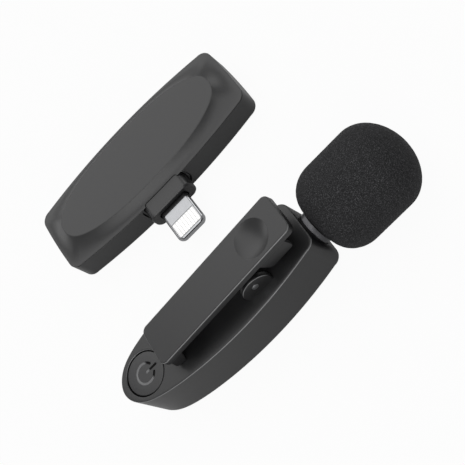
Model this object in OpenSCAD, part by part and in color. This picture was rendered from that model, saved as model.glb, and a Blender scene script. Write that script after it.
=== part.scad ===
// Wireless lavalier set: a clip-on microphone with its foam windscreen, and the phone
// receiver that it works with. Millimetres, +Z up. Both lie on the table, Z = 0.
//
// Microphone frame (before mic_pose): the origin is where the capsule axis leaves the
// housing, +Y runs along the axis to the windscreen, +Z points out of the clip side.
// Receiver frame (before receiver_pose): the origin is under the middle of the housing,
// +X points the way the plug points, +Z points out of the label side.

/* [Microphone housing] */
// Length of the housing, from its nose to the windscreen end
mic_len = 43.4; // [40:0.1:52]
// Width of the housing at its middle
mic_w = 15; // [14.6:0.1:18]
// Clip side of the housing, above the capsule axis
mic_top = 5.4; // [5:0.1:7]
// Front side of the housing, below the capsule axis
mic_bottom = 4.9; // [4.8:0.1:6]
// Radius of the long curved sides
mic_side_r = 91; // [80:1:140]
// Radius at the tip of the nose
mic_nose_r = 3.6; // [3.4:0.1:4.4]
// Corner radius at the windscreen end
mic_corner_r = 2; // [1.2:0.1:3]
// Wall thickness of the tub
mic_wall = 1.2; // [0.9:0.1:1.4]
// Thickness of the rear cover plate
cover_t = 1.2; // [0.9:0.1:1.5]
// Width of the tub's rim round the rear cover
rim_w = 0.7; // [0.5:0.05:0.8]
// Fillet of the front edge
front_fillet = 1; // [0.5:0.1:1.2]

/* [Windscreen and neck] */
// Diameter of the foam windscreen
screen_d = 16.7; // [14:0.1:20]
// Length of the foam windscreen
screen_len = 20; // [18:0.1:26]
// Length of its rounded back
screen_back = 5.5; // [4:0.1:6]
// Length of its domed front
screen_dome = 6.6; // [6:0.1:9]
// Diameter of its flat back face
screen_face_d = 7.3; // [7.2:0.1:9]
// Gap between the housing and the windscreen
screen_gap = 1.1; // [0.8:0.1:2]
// Depth of the flat where the foam rests on a table
screen_flat = 0.5; // [0.3:0.1:0.8]
// Diameter of the neck ring that shows
neck_d = 6.5; // [6.3:0.1:7]
// Diameter of the neck inside the foam
neck_tip_d = 6; // [5.6:0.1:6.2]
// Length of the neck inside the foam
neck_len = 7.8; // [6.8:0.1:9]
// Diameter of the microphone capsule
capsule_d = 4.4; // [4:0.1:4.6]
// Height of the microphone capsule
capsule_h = 2.2; // [1.5:0.1:3]

/* [Clip] */
// Length of the clip plate
clip_len = 32.6; // [30:0.1:36]
// Width of the clip plate
clip_w = 8.3; // [8:0.1:10]
// Thickness of the clip plate
clip_t = 1.5; // [1.3:0.1:2]
// Distance of the hinge pin from the jaw end of the plate
clip_jaw_len = 20.4; // [19:0.1:22]
// Slope of the plate against the rear cover, in degrees
clip_slope = 4.5; // [3.5:0.1:5]
// Underside of the plate above the hinge pin
clip_rise = 2.2; // [2.15:0.05:2.8]
// Corner radius of the plate
clip_corner_r = 1.3; // [0.8:0.1:2]
// Chamfer along the plate's upper edge
clip_chamfer = 0.3; // [0.1:0.05:0.5]
// Diameter of the thumb dish
dish_d = 7; // [5:0.1:7.4]
// Depth of the thumb dish
dish_depth = 0.9; // [0.4:0.1:0.9]
// Distance of the dish's centre from the hinge pin
dish_y = 5.7; // [5:0.1:7]
// Depth of the two side ribs under the thumb end
rib_h = 2.9; // [2:0.1:3]
// Thickness of each side rib
rib_t = 0.9; // [0.6:0.1:1.2]
// Widest opening of the clip, in degrees
clip_open = 10; // [8:1:10]

/* [Hinge] */
// Distance of the hinge pin from the windscreen end of the housing
hinge_y = 12; // [11.5:0.1:13]
// Height of the hinge pin above the rear cover
hinge_h = 1.9; // [1.9:0.05:2.3]
// Diameter of the hinge pin
pin_d = 1.2; // [1:0.1:1.3]
// Radial running clearance of the pin in its bores
pin_clear = 0.05; // [0.03:0.01:0.08]
// Radius of the ears on the rear cover
ear_r = 2.9; // [2.7:0.1:3]
// How far the ears' round centre lies below the pin
ear_drop = 0.95; // [0.9:0.05:1.1]
// Thickness of each ear
ear_t = 1; // [0.8:0.1:1.2]
// Distance between the outer faces of the ears
ear_span = 9; // [8.8:0.1:9.6]
// Radius of the clip's lugs
lug_r = 1.55; // [1.4:0.05:1.6]
// Thickness of each lug
lug_t = 1; // [0.8:0.1:1.1]

/* [Clip spring] */
// Diameter of the spring wire
wire_d = 0.4; // [0.3:0.05:0.45]
// Mean diameter of the spring coil
coil_d = 2.6; // [2.4:0.1:2.8]
// Whole turns of the coil, before its last half turn
coil_turns = 3; // [2:1:3]

/* [Power button] */
// Diameter of the power button
button_d = 7.9; // [7.2:0.1:8]
// Radial gap round the button
button_gap = 0.12; // [0.1:0.01:0.2]
// Distance of the button's centre from the tip of the nose
button_y = 5.5; // [5.4:0.1:6.2]
// Travel of the button
button_travel = 0.3; // [0.2:0.05:0.35]
// Mean radius of the engraved ring
symbol_r = 1.85; // [1.4:0.05:2.2]
// Width of the engraved lines
symbol_w = 0.42; // [0.3:0.02:0.6]
// Depth of the engraved lines
symbol_depth = 0.2; // [0.1:0.05:0.4]

/* [Microphone inside] */
// Thickness of both circuit boards
board_t = 0.8; // [0.6:0.1:1]
// Upper side of the microphone's board, below the rear cover
board_drop = 2.1; // [1.9:0.1:2.3]
// Length of the battery
battery_l = 15.5; // [12:0.5:16]
// Width of the battery
battery_w = 9.2; // [7:0.1:9.4]
// Width of the charging socket's mouth
socket_w = 8.94; // [8.9:0.01:9]
// Height of the charging socket
socket_h = 3.26; // [3.2:0.01:3.3]
// Depth of the charging socket
socket_l = 7; // [6:0.1:7.3]
// Distance of the socket's centre from the windscreen end
socket_y = 28.5; // [28:0.1:29]

/* [Receiver] */
// Length of the receiver's housing
rx_len = 47.7; // [44:0.1:56]
// Width of the housing at its middle
rx_w = 19; // [18:0.1:22]
// Height of the crease between the wall and the bevel
rx_crease = 5.8; // [5.8:0.1:7]
// Height of the label side
rx_h = 7.4; // [7.3:0.1:9]
// Radius of the long curved sides
rx_side_r = 140; // [120:5:200]
// Corner radius of the housing
rx_corner_r = 2.2; // [1.5:0.1:3]
// How far the housing's short ends bow out
rx_end_bow = 0.15; // [0.1:0.05:0.5]
// Length of the oval label face
label_l = 40.6; // [34:0.1:42]
// Width of the oval label face
label_w = 14.3; // [12:0.1:15]
// Wall thickness of the receiver
rx_wall = 1.1; // [0.9:0.1:1.2]
// Fillet of the receiver's lower edge
rx_fillet = 0.8; // [0.4:0.1:0.8]
// Inset of the two edges that meet in the receiver's parting line
rx_groove = 0.08; // [0.04:0.01:0.15]

/* [Phone plug] */
// Width of the plug
plug_w = 6.7; // [6.6:0.1:6.8]
// Thickness of the plug
plug_t = 1.5; // [1.4:0.1:1.6]
// Length of the plug's metal part in front of its base
plug_len = 6.7; // [6:0.1:7.5]
// Length of the plug's dark base in front of the collar
plug_base = 0.85; // [0.2:0.05:1.2]
// Gap between the plug and the mouth of its collar
plug_gap = 0.2; // [0.2:0.05:0.6]
// Contacts on each side of the plug
plug_pins = 8; // [6:1:8]
// Width of the collar round the plug
collar_w = 10.4; // [9.6:0.1:11]
// Height of the collar
collar_h = 4.2; // [4:0.1:4.5]
// Corner radius of the collar
collar_r = 1.5; // [0.8:0.1:1.6]
// How far the collar stands out of the housing
collar_out = 2.9; // [1.5:0.1:3.5]
// Height of the plug's middle above the table
plug_z = 3.7; // [2.95:0.05:3.7]
// Sideways distance of the plug from the middle of the housing
plug_side = -0.3; // [-0.5:0.1:0.5]

/* [Placing] */
// Sideways distance from the microphone's axis to the receiver's middle
rx_dx = 39.7; // [36:0.1:60]
// Distance of the receiver's middle behind the windscreen end of the housing
rx_dy = 18.7; // [12:0.1:24]
// Turn of the receiver on the table, in degrees
rx_yaw = 2; // [0:0.5:5]

/* [Hidden] */
$fn = 64;
eps = 0.01;
seat = 0.02;
slip = 0.05;

// Colours
housing_black = [0.20, 0.20, 0.21];
clip_black = [0.23, 0.23, 0.24];
foam_black = [0.13, 0.13, 0.14];
neck_grey = [0.30, 0.30, 0.32];
steel = [0.72, 0.72, 0.74];
gold = [0.85, 0.70, 0.35];
board_green = [0.10, 0.32, 0.20];
pouch_silver = [0.75, 0.76, 0.78];
lamp_white = [0.90, 0.92, 0.95];

// Rest on the table: the foam's flat and the nose's front edge both touch it
screen_start = screen_gap;
foam_rest_y = screen_start + screen_back;
nose_rest_y = mic_len - front_fillet - 0.5;
rest_run = foam_rest_y + nose_rest_y;
rest_drop = screen_d / 2 - mic_bottom;
mic_tilt = atan2(rest_drop, rest_run) - asin(screen_flat / norm([rest_run, rest_drop]));
mic_z = nose_rest_y * sin(mic_tilt) + mic_bottom * cos(mic_tilt);

// Middle of the whole set's box, so that the origin stands under it
rx_support = (rx_w / 2 - rx_side_r) * cos(rx_yaw) + rx_side_r;
mic_x = (rx_dx + rx_support - screen_d / 2) / 2;
set_front_y = -mic_len * cos(mic_tilt) - (mic_top - 0.4) * sin(mic_tilt);
set_back_y = (screen_start + screen_len) * cos(mic_tilt);
mic_y = -(set_front_y + set_back_y) / 2;

// Microphone heights in its own frame
cover_z = mic_top - cover_t;
floor_z = -mic_bottom + mic_wall;
board_z = cover_z - board_drop;
board_low = board_z - board_t;
button_c = -mic_len + button_y;
pin_y = -hinge_y;
pin_z = mic_top + hinge_h;

// Receiver heights in its own frame
part_z = rx_crease - 0.12;
rx_board_z = plug_z + board_t / 2;
collar_x = rx_w / 2 + collar_out;
plug_tip_x = collar_x + plug_base + plug_len;

// ---------------------------------------------------------------- outlines

// Half width of the microphone at y, inset by d
mic_mid = -mic_len / 2;
nose_run = 12;
nose_steps = 10;
side_steps = 8;
corner_steps = 5;

function mic_side(y, d) = mic_w / 2 - d - pow(y - mic_mid, 2) / (2 * mic_side_r);
function mic_nose(y, d) = sqrt(2 * mic_nose_r * max(eps * eps, y + mic_len - d));
function mic_half(y, d) = pow(pow(mic_side(y, d), -5) + pow(mic_nose(y, d), -5), -1 / 5);

// One side of the outline, from the nose to the flat end; i counts nose, side and corner
function mic_edge(d) =
    let (r = max(mic_corner_r - d, 0.5), yc = -d - r, y0 = -mic_len + d)
    concat(
        [[0, y0]],
        [for (i = [1:nose_steps]) let (y = y0 + nose_run * (1 - cos(90 * i / nose_steps)))
            [mic_half(y, d), y]],
        [for (i = [1:side_steps])
            let (y = y0 + nose_run + (yc - y0 - nose_run) * i / side_steps) [mic_half(y, d), y]],
        [for (i = [1:corner_steps]) let (a = 90 * i / corner_steps)
            [mic_half(yc, d) - r * (1 - cos(a)), yc + r * sin(a)]]
    );

// A closed outline from one side and its mirror image; tips on the axis aren't repeated
function mirrored(edge) =
    concat(edge, [for (i = [len(edge) - 1:-1:0]) if (edge[i][0] > eps) [-edge[i][0], edge[i][1]]]);
function mic_outline(d) = mirrored(mic_edge(d));

// One side of the receiver's outline, inset by d, from its lower to its upper end
rx_end = rx_len / 2;
rx_steps = 12;
end_steps = 3;

function rx_half(y, d) = rx_w / 2 - d - y * y / (2 * rx_side_r);
function rx_edge(d) =
    let (r = max(rx_corner_r - d, 0.5), yc = rx_end - rx_end_bow - d - r, xe = rx_half(yc, d) - r)
    concat(
        [for (i = [0:end_steps - 1]) let (t = i / end_steps) [xe * t, -yc - r - rx_end_bow * (1 - t * t)]],
        [for (i = [corner_steps:-1:1]) let (a = 90 * i / corner_steps)
            [rx_half(yc, d) - r * (1 - cos(a)), -yc - r * sin(a)]],
        [for (i = [0:rx_steps]) let (y = -yc + 2 * yc * i / rx_steps) [rx_half(y, d), y]],
        [for (i = [1:corner_steps]) let (a = 90 * i / corner_steps)
            [rx_half(yc, d) - r * (1 - cos(a)), yc + r * sin(a)]],
        [for (i = [end_steps - 1:-1:0]) let (t = i / end_steps) [xe * t, yc + r + rx_end_bow * (1 - t * t)]]
    );
function rx_outline(d) = mirrored(rx_edge(d));

// The label's oval, met from each point of the outline by the straight way to the long axis;
// near the ends that way turns to one point of the axis, so the corners run in at 45 degrees
oval_power = 2.3;
core_y = rx_end - rx_half(rx_end, 0);
function in_oval(p, inset) =
    pow(abs(p[0]) / (label_w / 2 - inset), oval_power)
        + pow(abs(p[1]) / (label_l / 2 - inset), oval_power) < 1;
function oval_hit(c, u, inset, low = 0, high = 1, n = 24) =
    let (mid = (low + high) / 2)
    n == 0 ? c + u * mid
    : in_oval(c + u * mid, inset) ? oval_hit(c, u, inset, mid, high, n - 1)
    : oval_hit(c, u, inset, low, mid, n - 1);
function label_outline(inset) =
    [for (p = rx_outline(0)) let (c = [0, max(-core_y, min(core_y, p[1]))]) oval_hit(c, p - c, inset)];
function between(a, b, t) = [for (i = [0:len(a) - 1]) a[i] * (1 - t) + b[i] * t];
function at_height(outline, z) = [for (p = outline) [p[0], p[1], z]];

// A closed skin over a stack of outlines that have equally many points
module loft(rings) {
    n = len(rings[0]);
    m = len(rings);
    points = [for (ring = rings) each ring];
    sides = [for (k = [0:m - 2], i = [0:n - 1])
        let (j = (i + 1) % n, a = k * n + i, b = k * n + j, c = a + n, d = b + n)
        each [[a, c, d], [a, d, b]]];
    bottom = [for (i = [0:n - 1]) i];
    top = [for (i = [n - 1:-1:0]) (m - 1) * n + i];
    polyhedron(points = points, faces = concat([bottom], sides, [top]), convexity = 4);
}

// Insets and heights of a quarter-round edge of radius r
fillet_steps = 4;
function round_up(z, r) =
    [for (i = [0:fillet_steps]) let (a = 90 * i / fillet_steps) [r * (1 - sin(a)), z + r * (1 - cos(a))]];
function round_down(z, r) =
    [for (i = [0:fillet_steps]) let (a = 90 * i / fillet_steps) [r * (1 - cos(a)), z - r * (1 - sin(a))]];

// ---------------------------------------------------------------- small solids

module slab(outline, z0, z1) {
    translate([0, 0, z0]) linear_extrude(z1 - z0) polygon(outline);
}

// A rectangle with round corners, about the origin
module soft_rectangle(w, h, r) {
    square([w - 2 * r, h], center = true);
    square([w, h - 2 * r], center = true);
    for (sx = [-1, 1], sy = [-1, 1])
        translate([sx * (w / 2 - r), sy * (h / 2 - r)]) circle(r);
}

// A bar along +X whose section lies in Y and Z
module bar_x(x0, x1, w, h, r) {
    translate([x0, 0, 0]) rotate([90, 0, 90]) linear_extrude(x1 - x0) soft_rectangle(w, h, r);
}

// A round bar along X from x0 to x1
module rod_x(x0, x1, r) {
    translate([x0, 0, 0]) rotate([0, 90, 0]) cylinder(r = r, h = x1 - x0);
}

// A plate whose profile lies in Y and Z, from x0 to x1
module plate_x(x0, x1, profile) {
    translate([x0, 0, 0]) rotate([90, 0, 90]) linear_extrude(x1 - x0) polygon(profile);
}

// A solid of revolution round the capsule axis, from points of radius and y
module turned_y(profile) {
    rotate([-90, 0, 0]) rotate_extrude() polygon(profile);
}

// A round wire of r along a path of points, with flat ends
module wire_along(path, r, sides = 6) {
    n = len(path);
    rings = [for (i = [0:n - 1])
        let (t = path[min(i + 1, n - 1)] - path[max(i - 1, 0)], u = t / norm(t),
             side = abs(u[0]) < 0.9 ? [1, 0, 0] : [0, 1, 0],
             v = cross(u, side) / norm(cross(u, side)), w = cross(u, v))
        [for (s = [0:sides - 1]) path[i] + r * (v * cos(-360 * s / sides) + w * sin(-360 * s / sides))]];
    points = [for (ring = rings) each ring];
    walls = [for (k = [0:n - 2], s = [0:sides - 1])
        let (q = (s + 1) % sides, a = k * sides + s, b = k * sides + q)
        each [[a, a + sides, b + sides], [a, b + sides, b]]];
    first = [for (s = [0:sides - 1]) s];
    last = [for (s = [sides - 1:-1:0]) (n - 1) * sides + s];
    polyhedron(points = points, faces = concat([first], walls, [last]), convexity = 6);
}

// A screw with a flat head on z = 0 and its shank down to -length
screw_head_r = 1.05;
screw_head_h = 0.7;
screw_r = 0.65;
module small_screw(length) {
    difference() {
        union() {
            cylinder(r = screw_head_r, h = screw_head_h);
            translate([0, 0, -length]) cylinder(r = screw_r, h = length + eps);
        }
        for (a = [0, 90])
            rotate([0, 0, a]) translate([-0.7, -0.12, screw_head_h - 0.3]) cube([1.4, 0.24, 1]);
    }
}

// ---------------------------------------------------------------- microphone

module mic_pose() {
    translate([mic_x, mic_y, mic_z]) rotate([mic_tilt, 0, 0]) children();
}

post_r = 1.3;
pilot_r = screw_r + seat;
board_post_y = [-mic_len + 2.5, -4.6];
socket_gap = 0.13;
socket_z = board_low - socket_h / 2;
slot_x = mic_half(-socket_y - socket_w / 2, mic_wall) - 0.4;
neck_bore_r = neck_d / 2 + slip;
lamp_r = 0.8;
battery_y = board_post_y[1] - post_r - 0.4 - battery_l / 2;
lamp_y = battery_y - battery_l / 2 - 2;

module front_housing() {
    skin = concat(round_up(-mic_bottom, front_fillet), round_down(mic_top, 0.3));
    mic_pose() color(housing_black) difference() {
        loft([for (s = skin) at_height(mic_outline(s[0]), s[1])]);
        difference() {
            slab(mic_outline(mic_wall), floor_z, mic_top + 1);
            for (y = board_post_y)
                translate([0, y, floor_z - eps]) cylinder(r = post_r, h = board_low - floor_z);
        }
        slab(mic_outline(rim_w), cover_z, mic_top + 1);
        rotate([90, 0, 0]) cylinder(r = neck_bore_r, h = 2 * mic_wall + 1, center = true);
        for (y = board_post_y)
            translate([0, y, floor_z + 0.4]) cylinder(r = pilot_r, h = board_low - floor_z);
        translate([-slot_x, -socket_y, socket_z]) rotate([0, 0, 180])
            bar_x(0, mic_w / 2, socket_w + 2 * socket_gap, socket_h + 2 * socket_gap, socket_h / 2);
        translate([0, lamp_y, -mic_bottom - 1]) cylinder(r = lamp_r + seat, h = mic_wall + 2);
    }
}

ear_in = ear_span / 2 - ear_t;
module rear_cover() {
    mic_pose() color(housing_black) difference() {
        union() {
            slab(mic_outline(rim_w + slip), cover_z, mic_top);
            for (s = [-1, 1]) intersection() {
                translate([0, pin_y, pin_z - ear_drop])
                    rod_x(s > 0 ? ear_in : -ear_span / 2, s > 0 ? ear_span / 2 : -ear_in, ear_r);
                translate([-mic_w / 2, pin_y - ear_r, mic_top - cover_t / 2])
                    cube([mic_w, 2 * ear_r, 2 * ear_r]);
            }
        }
        translate([0, button_c, cover_z - 1]) cylinder(r = button_d / 2 + button_gap, h = cover_t + 2);
        translate([0, pin_y, pin_z]) rod_x(-ear_span, ear_span, pin_d / 2 + pin_clear);
    }
}

pin_over = 0.08;
module hinge_pin() {
    tip = ear_span / 2 + pin_over;
    mic_pose() color(steel) translate([0, pin_y, pin_z]) {
        rod_x(-tip + 0.15, tip - 0.15, pin_d / 2);
        rod_x(-tip, tip, pin_d / 2 - 0.12);
    }
}

// The spring sits between the clip's two lugs
lug_in = 2;

// The spring starts along the cover, winds round the pin and ends under the thumb plate
coil_pitch = (2 * (lug_in - wire_d / 2 - 0.25)) / (coil_turns + 0.5);
coil_points = 8;
coil_r = coil_d / 2;
leg_len = 5.2;
foot_z = mic_top + wire_d / 2 + slip - pin_z;
plate_drop = clip_rise - wire_d / 2 - slip;
plate_reach = [leg_len * cos(clip_slope) - plate_drop * sin(clip_slope),
    leg_len * sin(clip_slope) + plate_drop * cos(clip_slope)];
coil_start = -(coil_turns + 0.5) * coil_pitch / 2;
coil_count = (coil_turns + 0.5) * coil_points;
coil_path = [for (i = [0:coil_count]) let (a = -90 - 360 * i / coil_points)
    [coil_start + coil_pitch * i / coil_points, coil_r * cos(a), coil_r * sin(a)]];
foot_path = [for (t = [3:-1:1]) [coil_start, leg_len * t / 3, -coil_r + (foot_z + coil_r) * t / 3]];
thumb_path = [for (t = [1:3]) [-coil_start, plate_reach[0] * t / 3,
    coil_r + (plate_reach[1] - coil_r) * t / 3]];
spring_path = concat(foot_path, coil_path, thumb_path);

// Least distance between points of the wire that aren't neighbours, less the wire
spring_gap = min([for (i = [0:len(spring_path) - 1], j = [0:len(spring_path) - 1])
    if (j - i > coil_points / 2) norm(spring_path[i] - spring_path[j])]) - wire_d;

module clip_spring() {
    mic_pose() color(steel) translate([0, pin_y, pin_z]) wire_along(spring_path, wire_d / 2);
}

board_inset = mic_wall + 0.3;
board_end = -3.2;
module main_board() {
    mic_pose() color(board_green) difference() {
        intersection() {
            slab(mic_outline(board_inset), board_low, board_z);
            translate([-mic_w, -mic_len, board_low - 1]) cube([2 * mic_w, mic_len + board_end, 9]);
        }
        for (y = board_post_y)
            translate([0, y, board_low - 1]) cylinder(r = screw_r + 0.15, h = board_t + 2);
    }
}

module board_screws() {
    mic_pose() color(steel)
        for (y = board_post_y) translate([0, y, board_z]) small_screw(board_t + 1.8);
}

shield_l = 9;
shield_w = 8;
shield_h = 1.3;
module radio_shield() {
    mic_pose() color(steel) translate([0, -mic_len / 2, board_z])
        linear_extrude(shield_h) soft_rectangle(shield_w, shield_l, 0.4);
}

switch_w = 2.6;
switch_h = 0.9;
plunger_r = 0.7;
plunger_h = 0.2;
module power_switch() {
    mic_pose() color(steel) translate([0, button_c, board_z]) {
        linear_extrude(switch_h) soft_rectangle(switch_w, switch_w, 0.2);
        cylinder(r = plunger_r, h = switch_h + plunger_h);
    }
}

battery_top = board_low - 0.3;
module battery() {
    mic_pose() color(pouch_silver) translate([0, battery_y, (battery_top + floor_z) / 2])
        rotate([90, 0, 0]) linear_extrude(battery_l, center = true)
            soft_rectangle(battery_w, battery_top - floor_z, 0.9);
}

socket_wall = 0.3;
module charging_socket() {
    mic_pose() color(steel) translate([-mic_half(-socket_y, 0) + 0.35, -socket_y, socket_z]) {
        difference() {
            bar_x(0, socket_l, socket_w, socket_h, socket_h / 2 - 0.05);
            bar_x(-1, socket_l - 0.8, socket_w - 2 * socket_wall, socket_h - 2 * socket_wall,
                socket_h / 2 - 0.05 - socket_wall);
        }
        bar_x(0.9, socket_l - 0.5, 6.6, 0.7, 0.2);
    }
}

module status_light() {
    mic_pose() color(lamp_white) translate([0, lamp_y, -mic_bottom + slip]) {
        cylinder(r = lamp_r, h = mic_wall);
        translate([0, 0, mic_wall - slip + seat]) cylinder(r = lamp_r + 0.5, h = 0.4);
    }
}

neck_flange_r = min(cover_z, -floor_z) - slip;
neck_tip = screen_start + neck_len;
capsule_seat = neck_tip - 0.1 - capsule_h;
lead_bore_r = 1.5;
module neck_tube() {
    flange_y = -mic_wall - seat;
    mic_pose() color(neck_grey) turned_y([
        [lead_bore_r, flange_y - 0.8], [neck_flange_r, flange_y - 0.8], [neck_flange_r, flange_y],
        [neck_d / 2, flange_y], [neck_d / 2, screen_start - 0.15], [neck_tip_d / 2, screen_start - 0.15],
        [neck_tip_d / 2, neck_tip], [capsule_d / 2 + seat, neck_tip],
        [capsule_d / 2 + seat, capsule_seat], [lead_bore_r, capsule_seat]
    ]);
}

module capsule() {
    mic_pose() color(pouch_silver) turned_y([
        [0, capsule_seat], [capsule_d / 2, capsule_seat], [capsule_d / 2, neck_tip - 0.1],
        [1.2, neck_tip - 0.1], [1.2, neck_tip - 0.25], [0, neck_tip - 0.25]
    ]);
}

grille_t = 0.35;
grille_hole_r = 0.35;
module capsule_grille() {
    mic_pose() color(steel) translate([0, neck_tip, 0]) rotate([-90, 0, 0]) difference() {
        cylinder(r = neck_tip_d / 2, h = grille_t);
        for (k = [0:6]) rotate([0, 0, 60 * k]) translate([k == 0 ? 0 : 1.3, 0, -1])
            cylinder(r = grille_hole_r, h = grille_t + 2);
    }
}

// Two leads from the capsule, through the neck, up to the end of the board
lead_r = 0.25;
lead_x = 2.8;
lead_y = board_end - 0.8;
module capsule_leads() {
    mic_pose() color("firebrick") for (s = [-1, 1])
        wire_along([[s * 0.7, capsule_seat - seat, 0], [s * 0.7, capsule_seat - 1.2, 0],
            [s * 0.8, 0, 0], [s * 0.9, -mic_wall - 0.9, 0],
            [s * lead_x / 2, (lead_y - mic_wall) / 2 - 0.6, 0],
            [s * lead_x * 0.85, lead_y + 0.2, board_low / 2], [s * lead_x, lead_y, board_low - 0.4],
            [s * lead_x, lead_y, board_low]], lead_r);
}

// ---------------------------------------------------------------- clip

rib_end = 9.4;
rib_start = ear_r + 0.3;
lip_gap = 0.06;
tooth = 0.25;

// Frame of the clip: origin on the pin, +Y along the plate to the thumb end
module clip_frame() {
    translate([0, pin_y, pin_z]) rotate([clip_slope, 0, 0]) children();
}

module clip_plate_solid() {
    plate_y = clip_len / 2 - clip_jaw_len;
    translate([0, plate_y, clip_rise]) {
        linear_extrude(clip_t - clip_chamfer) soft_rectangle(clip_w, clip_len, clip_corner_r);
        hull() {
            translate([0, 0, clip_t - clip_chamfer - eps]) linear_extrude(eps)
                soft_rectangle(clip_w, clip_len, clip_corner_r, $fn = 32);
            translate([0, 0, clip_t - eps]) linear_extrude(eps)
                soft_rectangle(clip_w - 2 * clip_chamfer, clip_len - 2 * clip_chamfer,
                    clip_corner_r - clip_chamfer, $fn = 32);
        }
    }
}

module clip() {
    dish_ball = (dish_d * dish_d / 4 + dish_depth * dish_depth) / (2 * dish_depth);
    top = clip_rise + clip_t;
    jaw_y = pin_y - (clip_jaw_len - 1) * cos(clip_slope) - clip_rise * sin(clip_slope);
    jaw_z = pin_z - (clip_jaw_len - 1) * sin(clip_slope) + clip_rise * cos(clip_slope) + 0.4;
    lip_z = mic_top + lip_gap;
    mic_pose() color(clip_black) difference() {
        union() {
            clip_frame() {
                clip_plate_solid();
                for (s = [-1, 1]) {
                    x0 = s > 0 ? clip_w / 2 - 0.15 - rib_t : -clip_w / 2 + 0.15;
                    plate_x(x0, x0 + rib_t, [[rib_start, clip_rise + 0.3],
                        [rib_start + 0.8, clip_rise - rib_h * 0.8], [rib_start + 1.4, clip_rise - rib_h],
                        [rib_end, clip_rise - rib_h], [rib_end, clip_rise + 0.3]]);
                    x1 = s > 0 ? lug_in : -lug_in - lug_t;
                    rod_x(x1, x1 + lug_t, lug_r);
                    plate_x(x1, x1 + lug_t, [[-lug_r, 0], [lug_r, 0], [lug_r, clip_rise + 0.3],
                        [-lug_r, clip_rise + 0.3]]);
                }
            }
            // the jaw's lip, turned down to the cover
            plate_x(-clip_w / 2 + 0.15, clip_w / 2 - 0.15, [[jaw_y, jaw_z], [jaw_y - 0.3, lip_z + 0.6],
                [jaw_y + 0.2, lip_z], [jaw_y + 1.5, lip_z], [jaw_y + 2, lip_z + 0.9],
                [jaw_y + 2.8, jaw_z + 0.15]]);
        }
        clip_frame() {
            rod_x(-clip_w, clip_w, pin_d / 2 + pin_clear);
            translate([0, dish_y, top - dish_depth + dish_ball]) sphere(r = dish_ball, $fn = 96);
        }
        for (k = [0:1]) translate([0, jaw_y + 0.55 + 0.55 * k, lip_z]) rotate([45, 0, 0])
            cube([clip_w + 2, tooth, tooth], center = true);
    }
}

// ---------------------------------------------------------------- button

module power_button() {
    cap_low = cover_z - 0.2;
    stem_low = board_z + switch_h + plunger_h + button_travel + seat;
    tab_low = cover_z - slip - 0.45;
    tab_y = 0.6;
    tab_w = 1.2;
    tab_r = mic_half(button_c + tab_y, mic_wall) - 0.12;
    mic_pose() color(clip_black) translate([0, button_c, 0]) difference() {
        union() {
            translate([0, 0, cap_low]) cylinder(r = button_d / 2, h = mic_top - cap_low);
            translate([0, 0, stem_low]) cylinder(r = 0.9, h = cap_low - stem_low + eps);
            translate([-tab_r, tab_y, tab_low]) cube([2 * tab_r, tab_w, cover_z - slip - tab_low]);
            translate([-tab_w, 0, tab_low]) cube([2 * tab_w, button_d / 2 + 0.6, cover_z - slip - tab_low]);
        }
        translate([0, 0, mic_top - symbol_depth]) {
            difference() {
                cylinder(r = symbol_r + symbol_w / 2, h = 1);
                translate([0, 0, -1]) cylinder(r = symbol_r - symbol_w / 2, h = 3);
                translate([-symbol_w * 1.6, 0, -1]) cube([symbol_w * 3.2, symbol_r * 2, 3]);
            }
            translate([-symbol_w / 2, 0.1, 0]) cube([symbol_w, symbol_r * 1.5 - 0.1, 1]);
        }
    }
}

// ---------------------------------------------------------------- windscreen

foam_steps = 8;
foam_bore_r = neck_tip_d / 2 + slip;
foam_r = screen_d / 2;
foam_face_r = screen_face_d / 2;
foam_tip = screen_start + screen_len;
foam_bore_end = neck_tip + grille_t + 0.3;
foam_profile = concat(
    [[0, screen_start]],
    [for (i = [0:foam_steps]) let (a = 90 * i / foam_steps)
        [foam_face_r + (foam_r - foam_face_r) * sin(a), screen_start + screen_back * (1 - cos(a))]],
    [for (i = [0:foam_steps]) let (a = 90 * i / foam_steps)
        [foam_r * cos(a), foam_tip - screen_dome * (1 - sin(a))]]
);

module foam_windscreen() {
    color(foam_black) difference() {
        mic_pose() turned_y(foam_profile);
        mic_pose() rotate([-90, 0, 0]) cylinder(r = foam_bore_r, h = foam_bore_end);
        translate([-2 * mic_len, -2 * mic_len, -screen_d]) cube([4 * mic_len, 4 * mic_len, screen_d]);
    }
}

// ---------------------------------------------------------------- receiver

module receiver_pose() {
    translate([mic_x - rx_dx, mic_y - rx_dy, 0]) rotate([0, 0, rx_yaw]) children();
}

// The bevel sinks fast next to the label and flattens out towards the crease
bevel_steps = 5;
lip_h = 0.8;
roof = 1;
module receiver_top() {
    skin = concat(
        [at_height(rx_outline(rx_groove), part_z + seat), at_height(rx_outline(0), part_z + rx_groove)],
        [for (i = [0:bevel_steps]) let (t = i / bevel_steps)
            at_height(between(rx_outline(rx_groove / 2), label_outline(0), t),
                rx_crease + (rx_h - rx_crease) * pow(t, 1.7))]
    );
    receiver_pose() color(clip_black) difference() {
        union() {
            loft(skin);
            slab(rx_outline(rx_wall + slip), part_z - lip_h, part_z + 2 * seat);
        }
        slab(label_outline(0.9), part_z - lip_h - 1, rx_h - roof);
        collar_room();
        collar_mouth();
    }
}

// Room inside the shells for the collar's flange
module collar_room() {
    translate([rx_w / 2 - rx_wall - 3, plug_side - collar_w / 2 - 1.4, 0])
        cube([3, collar_w + 2.8, min(plug_z + collar_h / 2 + 0.5, part_z - 0.05)]);
}

// The slot that the collar comes out through, in both shells
collar_slot = 0.12;
module collar_mouth() {
    translate([0, plug_side, plug_z])
        bar_x(collar_flange_x - collar_slot, rx_w / 2 + 3, collar_w + 2 * collar_slot,
            collar_h + 2 * collar_slot, collar_r + collar_slot);
}

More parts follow.
